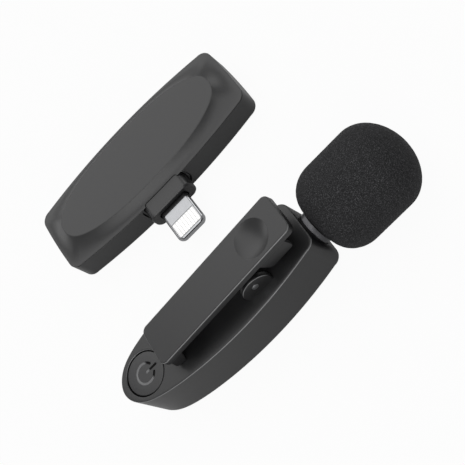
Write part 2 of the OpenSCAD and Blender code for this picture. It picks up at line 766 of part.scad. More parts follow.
rx_floor = rx_wall;
rx_post_y = 16;
collar_sink = 0.5;
module receiver_base() {
    skin = concat(round_up(0, rx_fillet), [[0, part_z - rx_groove], [rx_groove, part_z]]);
    receiver_pose() color(housing_black) difference() {
        loft([for (s = skin) at_height(rx_outline(s[0]), s[1])]);
        difference() {
            slab(rx_outline(rx_wall), rx_floor, part_z + 1);
            for (s = [-1, 1]) translate([0, s * rx_post_y, 0]) cylinder(r = post_r, h = plug_z - board_t / 2);
        }
        for (s = [-1, 1]) translate([0, s * rx_post_y, rx_floor]) cylinder(r = pilot_r, h = plug_z);
        collar_mouth();
        translate([0, plug_side, plug_z])
            bar_x(rx_w / 2 - collar_sink, rx_w / 2 + 3, collar_w + 1.2, min(collar_h + 0.7, 2 * plug_z - 0.6),
                collar_r + 0.4);
        translate([0, rx_lamp_y, -1]) cylinder(r = lamp_r + seat, h = 5);
    }
}

pocket_w = plug_w + 0.3;
pocket_h = plug_t + 2 * plug_gap;
pocket_d = 0.8;
collar_flange_x = rx_half(collar_w / 2 + 0.8 + abs(plug_side), rx_wall) - slip;
module plug_collar() {
    receiver_pose() color(clip_black) translate([0, plug_side, plug_z]) difference() {
        union() {
            bar_x(collar_flange_x - eps, collar_x - 0.3, collar_w, collar_h, collar_r);
            bar_x(collar_x - 0.3 - eps, collar_x, collar_w - 0.6, collar_h - 0.6, collar_r - 0.3);
            bar_x(collar_flange_x - 0.8, collar_flange_x, collar_w + 1.6, collar_h - 0.7, 1);
        }
        bar_x(0, collar_x + 1, plug_w + 2 * seat, plug_t + 2 * seat, plug_t / 2);
        bar_x(collar_x - pocket_d, collar_x + 1, pocket_w, pocket_h, 0.6);
    }
}

window_l = 3.6;
window_w = 5.6;
core_h = 0.8;
plug_nose = 0.5;
window_x = plug_tip_x - plug_nose - window_l;
base_x = collar_x + plug_base;
core_back = collar_flange_x - 1.6;
pin_pitch = 0.65;
pin_w = 0.4;
pin_h = 0.12;

module plug_windows(grow) {
    for (s = [-1, 1]) translate([window_x - grow, -window_w / 2 - grow, s > 0 ? 0 : -plug_t])
        cube([window_l + 2 * grow, window_w + 2 * grow, plug_t]);
}

module plug_shell() {
    receiver_pose() color(steel) translate([0, plug_side, plug_z]) difference() {
        intersection() {
            bar_x(base_x, plug_tip_x, plug_w, plug_t, plug_t / 2 - 0.03);
            translate([0, 0, -plug_t]) linear_extrude(2 * plug_t) union() {
                translate([base_x, -plug_w]) square([plug_len - 1.2, 2 * plug_w]);
                translate([plug_tip_x - 2, -plug_w / 2 + 1.2]) square([2, plug_w - 2.4]);
                for (s = [-1, 1]) translate([plug_tip_x - 1.2, s * (plug_w / 2 - 1.2)]) circle(1.2);
            }
        }
        translate([base_x - 1, -window_w / 2, -core_h / 2])
            cube([plug_tip_x - plug_nose - base_x + 1, window_w, core_h]);
        plug_windows(0);
    }
}

module plug_pins_solid() {
    for (k = [0:plug_pins - 1], s = [-1, 1])
        translate([window_x + 0.25, (k - (plug_pins - 1) / 2) * pin_pitch - pin_w / 2,
            s > 0 ? plug_t / 2 - 0.05 - pin_h : -plug_t / 2 + 0.05])
            cube([window_l - 0.5, pin_w, pin_h]);
}

module plug_insulator() {
    receiver_pose() color(housing_black) translate([0, plug_side, plug_z]) difference() {
        union() {
            bar_x(core_back, base_x - seat, plug_w, plug_t, plug_t / 2 - 0.03);
            translate([base_x - 1, -window_w / 2 + seat, -core_h / 2 + seat])
                cube([plug_tip_x - plug_nose - seat - base_x + 1, window_w - 2 * seat, core_h - 2 * seat]);
            translate([window_x + seat, -window_w / 2 + seat, -plug_t / 2 + 0.1])
                cube([window_l - 2 * seat, window_w - 2 * seat, plug_t - 0.2]);
        }
        plug_pins_solid();
        translate([core_back - 1, -plug_w, -board_t / 2 - seat])
            cube([2.2, 2 * plug_w, board_t + 2 * seat]);
    }
}

module plug_contacts() {
    receiver_pose() color(gold) translate([0, plug_side, plug_z]) plug_pins_solid();
}

rx_board_w = 13;
rx_board_l = 38;
module receiver_board() {
    board_right = core_back + 1.1;
    receiver_pose() color(board_green) difference() {
        translate([0, 0, rx_board_z - board_t]) linear_extrude(board_t) {
            translate([-rx_board_w / 2, -rx_board_l / 2]) square([rx_board_w, rx_board_l]);
            translate([0, plug_side - plug_w / 2 + 0.2]) square([board_right, plug_w - 0.4]);
        }
        for (s = [-1, 1]) translate([0, s * rx_post_y, 0]) cylinder(r = screw_r + 0.15, h = rx_h);
    }
}

module receiver_screws() {
    receiver_pose() color(steel)
        for (s = [-1, 1]) translate([0, s * rx_post_y, rx_board_z]) small_screw(board_t + 1.2);
}

rx_shield_w = 9;
rx_shield_l = 12;
module receiver_shield() {
    receiver_pose() color(steel) translate([-1, -rx_shield_l / 3, rx_board_z])
        linear_extrude(shield_h) soft_rectangle(rx_shield_w, rx_shield_l, 0.4);
}

rx_lamp_y = 9;
module receiver_light() {
    receiver_pose() color(lamp_white) translate([0, rx_lamp_y, slip]) {
        cylinder(r = lamp_r, h = rx_floor);
        translate([0, 0, rx_floor - slip + seat]) cylinder(r = lamp_r + 0.5, h = 0.4);
    }
}

echo(spring_gap = spring_gap, mic_tilt = mic_tilt, mic_x = mic_x, mic_y = mic_y, mic_z = mic_z);

front_housing();
rear_cover();
hinge_pin();
clip_spring();
main_board();
board_screws();
radio_shield();
power_switch();
battery();
charging_socket();
status_light();
neck_tube();
capsule();
capsule_grille();
capsule_leads();
clip();
power_button();
foam_windscreen();
receiver_top();
receiver_base();
plug_collar();
plug_insulator();
plug_shell();
plug_contacts();
receiver_board();
receiver_screws();
receiver_shield();
receiver_light();
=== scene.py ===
# %% [markdown]
# # A clip-on wireless microphone and its phone receiver
#
# The set has two bodies: a boat-shaped microphone with a sprung lapel clip, a power button and
# a foam windscreen, and a slim receiver with a flat phone plug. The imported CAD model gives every
# size and every moving body, so this script only gives each part its true surface: crisp edges
# with their tiny roundings, foam with pores, and one material for each real material.

# %% Load the frame
from math import acos, asin, cos, hypot, pi, radians, sin, sqrt
import bpy
import bmesh
import numpy as np
from mathutils import Matrix, Vector, noise


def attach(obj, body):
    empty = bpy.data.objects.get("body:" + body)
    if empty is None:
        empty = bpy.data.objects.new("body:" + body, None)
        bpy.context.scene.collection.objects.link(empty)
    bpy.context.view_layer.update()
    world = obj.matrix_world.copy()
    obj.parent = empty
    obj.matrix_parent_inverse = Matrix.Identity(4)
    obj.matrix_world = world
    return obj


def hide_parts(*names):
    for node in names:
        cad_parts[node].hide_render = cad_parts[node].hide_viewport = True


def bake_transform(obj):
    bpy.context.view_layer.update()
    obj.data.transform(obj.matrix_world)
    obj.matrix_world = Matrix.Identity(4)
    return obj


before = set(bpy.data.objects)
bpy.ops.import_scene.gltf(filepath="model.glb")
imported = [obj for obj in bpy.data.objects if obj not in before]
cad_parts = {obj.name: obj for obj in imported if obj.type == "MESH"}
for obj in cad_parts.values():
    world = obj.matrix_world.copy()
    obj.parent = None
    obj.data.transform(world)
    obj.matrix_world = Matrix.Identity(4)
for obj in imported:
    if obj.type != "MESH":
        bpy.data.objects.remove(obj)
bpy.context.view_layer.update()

# %% [markdown]
# ## Places
#
# Each piece is drawn in millimetres in a frame of its own, as a maker would dimension it: the
# microphone from the point where the capsule's axis leaves the housing, the clip from its
# hinge pin, the receiver from the middle of its underside. A matrix then puts the piece in
# place. The microphone lies on its nose and on its foam, so its frame leans 3.5 degrees.

# %% Frames of the parts
MM = 0.001


def shifted(x, y, z):
    return Matrix.Translation(Vector((x, y, z)) * MM)


def turned(degrees, axis):
    return Matrix.Rotation(radians(degrees), 4, axis)


HINGE_Y, PIN_Z, CLIP_SLOPE = -12.0, 7.3, 4.5
MIC = shifted(20.4647, 11.2812, 7.43403) @ turned(3.47963, "X")
HINGE = MIC @ shifted(0, HINGE_Y, PIN_Z)
CLIP = HINGE @ turned(CLIP_SLOPE, "X")
RECEIVER = shifted(-19.2353, -7.4188, 0) @ turned(2, "Z")
PLUG_HEIGHT, PLUG_SIDE = 3.7, -0.3
# A lathe or a bar is drawn along its own Z; these lay that axis along Y or along X
ALONG_Y = turned(-90, "X")
ALONG_X = Matrix(((0, 0, 1, 0), (1, 0, 0, 0), (0, 1, 0, 0), (0, 0, 0, 1)))
print("lean of the microphone:", round(MIC.to_euler().x * 180 / pi, 2), "degrees")

# %% [markdown]
# ## Tools for mesh work
#
# Moulded housings are stacks of similar outlines, so a loft over rings makes most of them, and
# an inset and a height for each ring draw the small fillets that catch the light. Turned parts
# are profiles run round an axis, and wires are circles swept along a path.

# %% Mesh from points and faces
def new_piece(name, points, faces, place):
    mesh = bpy.data.meshes.new(name)
    mesh.from_pydata([tuple(c * MM for c in p) for p in points], [], faces)
    work = bmesh.new()
    work.from_mesh(mesh)
    bmesh.ops.remove_doubles(work, verts=work.verts, dist=1e-7)
    bmesh.ops.recalc_face_normals(work, faces=work.faces)
    work.to_mesh(mesh)
    work.free()
    piece = bpy.data.objects.new(name, mesh)
    bpy.context.scene.collection.objects.link(piece)
    piece.matrix_world = place
    return piece


def loft(name, rings, place):
    """A closed skin over rings that have equally many points."""
    n = len(rings[0])
    faces = [tuple(range(n)), tuple(range((len(rings) - 1) * n, len(rings) * n))]
    for k in range(len(rings) - 1):
        for i in range(n):
            a, b = k * n + i, k * n + (i + 1) % n
            faces.append((a, b, b + n, a + n))
    return new_piece(name, [p for ring in rings for p in ring], faces, place)


def lathe(name, profile, place, steps=96, ring=False):
    """A turned solid: the profile is radius and height. A ring's profile closes on itself."""
    points, rows, faces = [], [], []
    for r, h in profile:
        count = 1 if r == 0 else steps
        rows.append(range(len(points), len(points) + count))
        angles = [2 * pi * i / steps for i in range(count)]
        points += [(r * cos(a), r * sin(a), h) for a in angles]
    pairs = list(zip(rows, rows[1:])) + ([(rows[-1], rows[0])] if ring else [])
    for low, high in pairs:
        for i in range(steps):
            j = (i + 1) % steps
            corners = [low[i % len(low)], low[j % len(low)],
                       high[j % len(high)], high[i % len(high)]]
            face = tuple(dict.fromkeys(corners))
            if len(face) > 2:
                faces.append(face)
    return new_piece(name, points, faces, place)


def sweep(name, path, radius, place, sides=12, round_ends=False):
    """A wire of one radius along a path of points."""
    path = [Vector(p) for p in path]
    radii = [radius] * len(path)
    if round_ends:
        # half a ball at each end, as three more rings
        head, tail = (path[0] - path[1]).normalized(), (path[-1] - path[-2]).normalized()
        angles = [radians(a) for a in (86, 60, 30)]
        path = ([path[0] + head * radius * sin(a) for a in angles] + path
                + [path[-1] + tail * radius * sin(a) for a in reversed(angles)])
        caps = [radius * cos(a) for a in angles]
        radii = caps + radii + caps[::-1]
    rings, side = [], None
    for i, p in enumerate(path):
        along = (path[min(i + 1, len(path) - 1)] - path[max(i - 1, 0)]).normalized()
        if side is None:
            side = Vector((1, 0, 0)) if abs(along.x) < 0.9 else Vector((0, 1, 0))
        side = (side - along * side.dot(along)).normalized()
        up = along.cross(side)
        rings.append([p + radii[i] * (side * cos(2 * pi * s / sides) + up * sin(2 * pi * s / sides))
                      for s in range(sides)])
    return loft(name, rings, place)


# %% [markdown]
# A small fillet is a quarter circle. In a stack of rings it is a list of insets and heights.

# %% Fillets and outlines
def quarter(steps=5):
    return [pi / 2 * i / steps for i in range(steps + 1)]


def fillet_out(z, r, inset=0, steps=5):
    """From a face at z up to the wall above it."""
    return [(inset + r * (1 - sin(a)), z + r * (1 - cos(a))) for a in quarter(steps)]


def fillet_in(z, r, inset=0, steps=5):
    """From the wall up to a face at z."""
    return [(inset + r * (1 - cos(a)), z - r * (1 - sin(a))) for a in quarter(steps)]


def soft_rectangle(w, h, r, steps=8):
    """A rectangle with round corners, about the origin."""
    r = min(r, w / 2 - 1e-3, h / 2 - 1e-3)
    points = []
    for k, (cx, cy) in enumerate([(1, 1), (-1, 1), (-1, -1), (1, -1)]):
        for i in range(steps + 1):
            a = pi / 2 * (k + i / steps)
            points.append((cx * (w / 2 - r) + r * cos(a), cy * (h / 2 - r) + r * sin(a)))
    return points


def bar(name, stations, place, steps=8):
    """A bar along Z; each station is its height, width, depth and corner radius."""
    return loft(name, [[(x, y, z) for x, y in soft_rectangle(w, h, r, steps)]
                       for z, w, h, r in stations], place)


def block(w, h, r, z0, z1, edge):
    """Stations of a bar with its two ends rounded by edge."""
    turns = fillet_out(z0, edge, steps=4) + fillet_in(z1, edge, steps=4)
    return [(z, w - 2 * d, h - 2 * d, max(r - d, 0.02)) for d, z in turns]


def rod(r, z0, z1):
    """The profile of a plain cylinder."""
    return [(0, z0), (r, z0), (r, z1), (0, z1)]


def both_sides(x, thick):
    """Where two equal plates start, one on each side of the middle."""
    return -x - thick, x


# %% [markdown]
# Openings are cut with exact booleans, because a mould shuts off against steel in the same way.
# A cutter that flares at its mouth leaves the small chamfer that a real edge has. Faces are then
# shaded smooth, split at sharp edges, and weighted by area so that flat faces stay flat.

# %% Booleans and shading
def apply_modifiers(piece):
    ready = piece.evaluated_get(bpy.context.evaluated_depsgraph_get())
    mesh = bpy.data.meshes.new_from_object(ready)
    piece.modifiers.clear()
    piece.data = mesh
    return piece


def combine(piece, how, *tools):
    """Cuts tools out of a piece (DIFFERENCE) or joins them to it (UNION)."""
    for tool in tools:
        step = piece.modifiers.new("cut", "BOOLEAN")
        step.operation, step.solver, step.object = how, "EXACT", tool
        apply_modifiers(piece)
        bpy.data.objects.remove(tool)
    return piece


def prism(name, outline, z0, z1, place, edge=0.0):
    """An extruded outline with its edges rounded."""
    piece = loft(name, [[(x, y, z) for x, y in outline] for z in (z0, z1)], place)
    if edge:
        step = piece.modifiers.new("edges", "BEVEL")
        step.width, step.segments = edge * MM, 3
        step.limit_method, step.angle_limit = "ANGLE", radians(35)
        apply_modifiers(piece)
    return piece


def smooth(piece, degrees=32):
    piece.data.shade_smooth()
    piece.data.set_sharp_from_angle(angle=radians(degrees))
    step = piece.modifiers.new("normals", "WEIGHTED_NORMAL")
    step.keep_sharp, step.weight = True, 90
    return apply_modifiers(piece)


finished = []


def finish(piece, body, slot, *nodes, bend=None):
    """Hands a piece over: it moves with its body, or, given a bend, stays fixed where it is, and it
    replaces its nodes.
    """
    smooth(piece)
    if bend:
        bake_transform(piece)
    else:
        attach(piece, body)
    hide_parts(*nodes)
    piece.data.materials.clear()
    piece.data.materials.append(finish_of[slot])
    finished.append(piece.name)
    print(f"{piece.name}: {len(piece.data.polygons)} faces, on {body}, in {slot}")
    return piece


# %% [markdown]
# ## Materials
#
# A colour is written as the sRGB hex that a maker would quote, and one function turns it to the
# linear values that Blender mixes in. One small function adds a node with settings and links.

# %% Colour, and a node
def linear(code, alpha=1.0):
    parts = [int(code[i:i + 2], 16) / 255 for i in (1, 3, 5)]
    return [c / 12.92 if c <= 0.04045 else ((c + 0.055) / 1.055) ** 2.4 for c in parts] + [alpha]


def add(tree, kind, settings=None, **inputs):
    """Adds a node. An input is a value, or another node's output to link."""
    made = tree.nodes.new("ShaderNode" + kind)
    for key, value in (settings or {}).items():
        setattr(made, key, value)
    for key, value in inputs.items():
        by_number = key[0] == "i" and key[1:].isdigit()
        socket = made.inputs[int(key[1:]) if by_number else key.replace("_", " ")]
        if isinstance(value, bpy.types.NodeSocket):
            tree.links.new(value, socket)
        else:
            socket.default_value = value
    return made


def new_material(name, **surface):
    """A material with its shader, and the object's own coordinates in metres."""
    material = bpy.data.materials.new(name)
    material.use_nodes = True
    tree = material.node_tree
    tree.nodes.clear()
    shader = add(tree, "BsdfPrincipled", **surface)
    add(tree, "OutputMaterial", Surface=shader.outputs[0])
    return material, tree, shader, add(tree, "TexCoord").outputs["Object"]


def ramp(tree, source, *stops):
    """A colour ramp over positions and hex colours."""
    made = add(tree, "ValToRGB", Fac=source)
    band = made.color_ramp
    while len(band.elements) < len(stops):
        band.elements.new(0.5)
    for element, (position, code) in zip(band.elements, stops):
        element.position, element.color = position, linear(code)
    return made.outputs["Color"]


def per_mm(size_mm):
    """The texture scale whose features are this many millimetres, on metre coordinates."""
    return 1000 / size_mm


TIMES, BELOW, ABOVE = [{"operation": how} for how in ("MULTIPLY", "LESS_THAN", "GREATER_THAN")]
SOFT, COLOURS = {"interpolation_type": "SMOOTHSTEP"}, {"data_type": "RGBA"}
finish_of = {}

# %% [markdown]
# ### Moulded ABS, satin black
#
# Both housings, the clip and the button are black ABS from spark-eroded moulds. The steel's fine
# pits give the plastic a satin skin, so highlights are wide and soft. Spark grit is about 0.03
# mm, too fine for this view, so it is drawn at 0.16 mm. Slow changes of gloss some 6 mm across
# come from handling. On the microphone and its clip, the rounded edges that face +X are painted a
# paler grey as a painted highlight. Light and shade are painted into the button's grooves: grey
# low in the sign, black at its top.

# %% Satin black ABS
# The first grey is a painted highlight for rounded edges; the next two are painted light and shade
# in the sign
PAINTED_EDGE_HIGHLIGHT, SIGN_PAINTED_LIGHT, SIGN_PAINTED_SHADE = "#777778", "#767677", "#020202"
SIGN_TOP, SIGN_DEEP, SIGN_R = 5.215, 0.25, 3.2


def satin_abs(name, dark, light, polish, painted_edge_highlight=0.0, sign_light_and_shade=False):
    """The edge share is how far the rounded edges facing +X are painted towards a paler grey, a
    painted highlight.
    """
    material, tree, shader, where = new_material(name, IOR=1.54)
    grit = add(tree, "TexNoise", Vector=where, Scale=per_mm(0.16), Detail=2.0).outputs["Fac"]
    cloud = add(tree, "TexNoise", Vector=where, Scale=per_mm(6), Detail=3.0).outputs["Fac"]
    tone = ramp(tree, cloud, (0.3, dark), (0.7, light))
    rough = add(tree, "MapRange", Value=cloud, To_Min=polish - 0.03,
                To_Max=polish + 0.05).outputs[0]
    bump = add(tree, "Bump", Height=grit, Strength=0.12, Distance=0.02 * MM).outputs[0]
    # Painted highlight: rounded edges between the top and the wall that face +X go towards a paler
    # grey
    if painted_edge_highlight:
        facing = add(tree, "SeparateXYZ", i0=add(tree, "TexCoord").outputs["Normal"]).outputs
        edge = add(tree, "MapRange", SOFT, i0=facing["Z"], i1=0.12, i2=0.5).outputs[0]
        long = add(tree, "MapRange", SOFT, i0=facing["X"], i1=0.15, i2=0.5, i4=painted_edge_highlight).outputs[0]
        flat = add(tree, "MapRange", SOFT, i0=facing["Z"], i1=0.92, i2=0.6).outputs[0]
        share = add(tree, "Math", TIMES, i0=edge, i1=long).outputs[0]
        share = add(tree, "Math", TIMES, i0=share, i1=flat).outputs[0]
        tone = add(tree, "Mix", COLOURS, i0=share, i6=tone, i7=linear(PAINTED_EDGE_HIGHLIGHT)).outputs[2]
    # Painted light and shade in the sign's grooves: grey low in the sign, black at its top towards
    # the clip; the grooves also get less gloss
    if sign_light_and_shade:
        spot = add(tree, "SeparateXYZ", i0=where).outputs
        paint = add(tree, "MapRange", i0=spot["Y"], i1=0.7 * MM, i2=1.1 * MM).outputs[0]
        paint = ramp(tree, paint, (0.0, SIGN_PAINTED_LIGHT), (1.0, SIGN_PAINTED_SHADE))
        top = add(tree, "Math", BELOW, i0=spot["Z"], i1=SIGN_TOP * MM).outputs[0]
        low = add(tree, "Math", ABOVE, i0=spot["Z"], i1=(SIGN_TOP - SIGN_DEEP) * MM).outputs[0]
        across = add(tree, "CombineXYZ", i0=spot["X"], i1=spot["Y"]).outputs[0]
        inside = add(tree, "VectorMath", {"operation": "LENGTH"}, i0=across).outputs["Value"]
        inside = add(tree, "Math", BELOW, i0=inside, i1=SIGN_R * MM).outputs[0]
        share = add(tree, "Math", TIMES, i0=top, i1=low).outputs[0]
        share = add(tree, "Math", TIMES, i0=share, i1=inside).outputs[0]
        tone = add(tree, "Mix", COLOURS, i0=share, i6=tone, i7=paint).outputs[2]
        dull = add(tree, "Math", {"operation": "MULTIPLY_ADD"}, i0=share, i1=-0.4, i2=0.5)
        tree.links.new(dull.outputs[0], shader.inputs["Specular IOR Level"])
    tree.links.new(tone, shader.inputs["Base Color"])
    tree.links.new(rough, shader.inputs["Roughness"])
    tree.links.new(bump, shader.inputs["Normal"])
    return material


# Housing and clip get the painted edge highlight; the button gets painted light and shade in its
# sign
finish_of["housing_plastic"] = satin_abs(
    "moulded_ABS_satin_black_housing", "#101011", "#151516", 0.38, painted_edge_highlight=0.9)
finish_of["clip_plastic"] = satin_abs(
    "moulded_ABS_satin_black_clip", "#111112", "#161617", 0.35, painted_edge_highlight=0.9)
finish_of["button_plastic"] = satin_abs(
    "moulded_ABS_satin_black_button", "#161618", "#1a1a1b", 0.38, sign_light_and_shade=True)
finish_of["receiver_plastic"] = satin_abs(
    "moulded_ABS_satin_black_receiver", "#151516", "#19191a", 0.36)
print("plastics:", len(finish_of))

# %% [markdown]
# ### Open-cell polyurethane foam
#
# The windscreen is reticulated foam with about 0.3 mm cells. Cell walls that face the light are
# paler, and the cells between them stay dark, so it looks speckled. It has no clear reflection:
# the shader is rough and its gloss is weak.

# %% Black foam
CELL, STRUT = 0.3, 0.16
material, tree, shader, where = new_material(
    "polyurethane_foam_open_cell_black", Roughness=0.7, IOR=1.45, Specular_IOR_Level=0.12)
cells = add(tree, "TexVoronoi", {"feature": "DISTANCE_TO_EDGE"}, Vector=where,
            Scale=per_mm(CELL)).outputs["Distance"]
struts = add(tree, "TexNoise", Vector=where, Scale=per_mm(STRUT), Detail=3.0,
             Roughness=0.7).outputs["Fac"]
tone = ramp(tree, struts, (0.40, "#1a1a1b"), (0.54, "#29292a"), (0.70, "#58585a"))
bump = add(tree, "Bump", Height=struts, Strength=0.5, Distance=0.10 * MM).outputs[0]
bump = add(tree, "Bump", Height=cells, Strength=0.2, Distance=0.06 * MM, Normal=bump).outputs[0]
tree.links.new(tone, shader.inputs["Base Color"])
tree.links.new(bump, shader.inputs["Normal"])
finish_of["foam"] = material
print("foam cells:", round(per_mm(CELL)), "a metre")

# %% [markdown]
# ### Metals
#
# A metal is metallic 1 with its own tint and the default IOR. What tells them apart is the way
# their surface was made: turned and anodised, drawn, ground, perforated or plated. Machining
# lines run round or along the part, so the noise is drawn out along them.

# %% Metals
def metal(name, dark, light, polish, stretch=(1, 1, 1), grain_mm=0.2, depth=0.01):
    material, tree, shader, where = new_material(name, Metallic=1.0)
    laid = add(tree, "Mapping", Vector=where, Scale=stretch).outputs[0]
    grain = add(tree, "TexNoise", Vector=laid, Scale=per_mm(grain_mm), Detail=3.0).outputs["Fac"]
    tone = ramp(tree, grain, (0.3, dark), (0.7, light))
    rough = add(tree, "MapRange", Value=grain, To_Min=polish - 0.04,
                To_Max=polish + 0.06).outputs[0]
    bump = add(tree, "Bump", Height=grain, Strength=0.15, Distance=depth * MM).outputs[0]
    tree.links.new(tone, shader.inputs["Base Color"])
    tree.links.new(rough, shader.inputs["Roughness"])
    tree.links.new(bump, shader.inputs["Normal"])
    return material


EVEN = (1, 1, 1)
for slot, *values in (
    ("neck_metal", "anodised_aluminium_turned_dark", "#4a4a4c", "#545456", 0.28, (1, 1, 12)),
    ("capsule_can", "aluminium_drawn_can", "#c9cbce", "#dcdee0", 0.3, (1, 1, 0.2)),
    ("grille_steel", "stainless_steel_perforated", "#b4b5b7", "#c6c7c9", 0.32),
    ("pin_steel", "stainless_steel_ground_pin", "#87888a", "#929395", 0.36, (1, 1, 0.1)),
    ("spring_steel", "spring_steel_drawn_wire", "#8f9092", "#a3a4a6", 0.3, (1, 1, 0.2)),
    ("screw_steel", "steel_zinc_plated_screw", "#b9bcbf", "#cdd0d2", 0.35),
    ("shield_tin", "tinned_steel_sheet_rolled", "#c2c3c4", "#d2d3d3", 0.33, (8, 0.4, 1)),
    ("socket_steel", "steel_nickel_plated_shell", "#bebdbb", "#cfcecb", 0.28),
    ("plug_steel", "stainless_steel_polished_plug", "#9a9b9d", "#a0a1a3", 0.2, EVEN, 0.5, 0.001),
    ("contact_plating", "palladium_nickel_plated_contact", "#efeeea", "#f6f5f1", 0.3, (1, 1, 4)),
    ("battery_pouch", "aluminium_laminate_pouch_film", "#c4c6c9", "#d4d6d9", 0.38, EVEN, 1.6, 0.12),
):
    finish_of[slot] = metal(*values)
print("finishes so far:", len(finish_of))

# %% [markdown]
# ### Plug moulding, light guide and lead
#
# The plug's body between its contacts is a pale glass-filled liquid-crystal polymer, moulded
# smooth. The light guide is milky polycarbonate, which lets some light through. The leads have
# a soft PVC jacket with a slight waviness from the extruder.

# %% Clear and pale plastics
def moulded(name, dark, light, polish, grain_mm, depth, **surface):
    material, tree, shader, where = new_material(name, **surface)
    flow = add(tree, "TexNoise", Vector=where, Scale=per_mm(grain_mm), Detail=3.0).outputs["Fac"]
    tone = ramp(tree, flow, (0.3, dark), (0.7, light))
    rough = add(tree, "MapRange", Value=flow, To_Min=polish - 0.04,
                To_Max=polish + 0.04).outputs[0]
    bump = add(tree, "Bump", Height=flow, Strength=0.2, Distance=depth * MM).outputs[0]
    tree.links.new(tone, shader.inputs["Base Color"])
    tree.links.new(rough, shader.inputs["Roughness"])
    tree.links.new(bump, shader.inputs["Normal"])
    return material


finish_of["plug_moulding"] = moulded(
    "liquid_crystal_polymer_moulded_pale", "#e6e6e6", "#f2f2f2", 0.4, 0.5, 0.01, IOR=1.6)
finish_of["light_lens"] = moulded(
    "polycarbonate_milky_light_guide", "#dfe3e6", "#eef1f3", 0.2, 0.8, 0.01,
    IOR=1.585, Transmission_Weight=0.35)
finish_of["lead_jacket"] = moulded(
    "PVC_extruded_red_jacket", "#8f1d1a", "#a3241f", 0.45, 0.6, 0.03, IOR=1.53)

# %% [markdown]
# ### Circuit board
#
# Glass-epoxy laminate under green solder mask. Copper tracks 0.3 mm wide lie under the mask and
# lift it a little, so they show as a lighter green on a fine grid, and the laminate's weave of
# about 0.6 mm gives a slight ripple.

# %% Solder-masked laminate
material, tree, shader, where = new_material(
    "glass_epoxy_board_green_solder_mask", Roughness=0.3, IOR=1.55, Coat_Weight=0.3)
weave = add(tree, "TexWave", {"wave_type": "BANDS"}, Vector=where, Scale=per_mm(1.0) / 2,
            Distortion=0.6).outputs["Fac"]
tracks = add(tree, "TexBrick", {"offset": 0.37, "squash": 0.6}, Vector=where, Scale=per_mm(3.2),
             Mortar_Size=0.05, Color1=linear("#0f4a2c"), Color2=linear("#12502f"),
             Mortar=linear("#2f7a4c"))
bump = add(tree, "Bump", Height=tracks.outputs["Fac"], Strength=0.3, Distance=0.03 * MM).outputs[0]
bump = add(tree, "Bump", Height=weave, Strength=0.1, Distance=0.02 * MM, Normal=bump).outputs[0]
tree.links.new(tracks.outputs["Color"], shader.inputs["Base Color"])
tree.links.new(bump, shader.inputs["Normal"])
finish_of["circuit_board"] = material
print("all finishes:", len(finish_of))

# %% [markdown]
# ## Microphone
#
# ### The housing's outline
#
# Seen from above the housing is a boat. Its long sides are one wide arc, its nose is a parabola
# of 3.6 mm tip radius, and a smooth minimum joins the two. Each inset outline comes from the
# same formula, so the rim, the cover and the wall keep an almost even width.

# %% Outline of the microphone
MIC_LEN, MIC_W, SIDE_R, NOSE_R, CORNER_R = 43.4, 15.0, 91.0, 3.6, 2.0


def mic_half(y, d):
    side = MIC_W / 2 - d - (y + MIC_LEN / 2) ** 2 / (2 * SIDE_R)
    nose = sqrt(2 * NOSE_R * max(1e-4, y + MIC_LEN - d))
    return (side ** -5 + nose ** -5) ** -0.2


def mic_outline(d, z):
    r = max(CORNER_R - d, 0.5)
    y0, yc = -MIC_LEN + d, -d - r
    edge = [(0, y0)]
    edge += [(mic_half(y, d), y) for y in (y0 + 12 * (1 - cos(a)) for a in quarter(30)[1:])]
    edge += [(mic_half(y, d), y) for y in np.linspace(y0 + 12, yc, 33)[1:]]
    edge += [(mic_half(yc, d) - r * (1 - cos(a)), yc + r * sin(a)) for a in quarter(12)[1:]]
    return [(x, y, z) for x, y in edge] + [(-x, y, z) for x, y in reversed(edge[1:])]


print("points in the outline:", len(mic_outline(0, 0)))

# %% [markdown]
# ### Tub
#
# The tub is the front face, the side walls and a thin rim round the cover. One skin runs up the
# outside, over the rim, down into the recess and across the floor, so the wall is truly hollow.
# The front edge has a 1 mm fillet and the rim one of just under 0.3 mm: that rim is the bright
# line that follows the whole boat, partly from its own gloss and partly from a painted highlight
# on its +X side. Openings for neck, socket and light are cut afterwards.

# %% Tub of the microphone
TOP, BOTTOM, COVER, FLOOR = 5.4, -4.9, 4.2, -3.7
RIM, WALL, CORNER = 0.7, 1.2, 0.5
profile = fillet_out(BOTTOM, 1.0, steps=8) + fillet_in(TOP, 0.28, steps=5)
profile += [(RIM, TOP), (RIM, COVER), (WALL, COVER)]
profile += [(WALL + CORNER * (1 - cos(a)), FLOOR + CORNER * (1 - sin(a))) for a in quarter(3)]
tub = loft("tub", [mic_outline(d, z) for d, z in profile], MIC)
BOARD_LOW, POST_R, PILOT_R = 1.3, 1.3, 0.67
for y in (-MIC_LEN + 2.5, -4.6):
    spot = MIC @ shifted(0, y, 0)
    combine(tub, "UNION", lathe("post", rod(POST_R, FLOOR - 0.3, BOARD_LOW), spot, 48))
    combine(tub, "DIFFERENCE", lathe("pilot", rod(PILOT_R, FLOOR + 0.4, 3), spot, 32))
neck_line = [(0, -3.5), (3.3, -3.5), (3.3, -0.15), (3.45, 0), (3.45, 1), (0, 1)]
neck_hole = lathe("neck_hole", neck_line, MIC @ ALONG_Y)
SOCKET_Y, SOCKET_Z = -28.5, BOARD_LOW - 1.63
mouth = mic_half(SOCKET_Y, 0)
slot_cut = bar("slot_cut", [(mouth - 2.2, 9.2, 3.52, 1.7), (mouth - 0.22, 9.2, 3.52, 1.7),
                            (mouth - 0.02, 9.5, 3.82, 1.8), (mouth + 1, 9.6, 3.92, 1.9)],
               MIC @ shifted(0, SOCKET_Y, SOCKET_Z) @ turned(180, "Z") @ ALONG_X)
LAMP_Y, LAMP_R, LAMP_MOUTH = -23.8, 0.82, 0.9
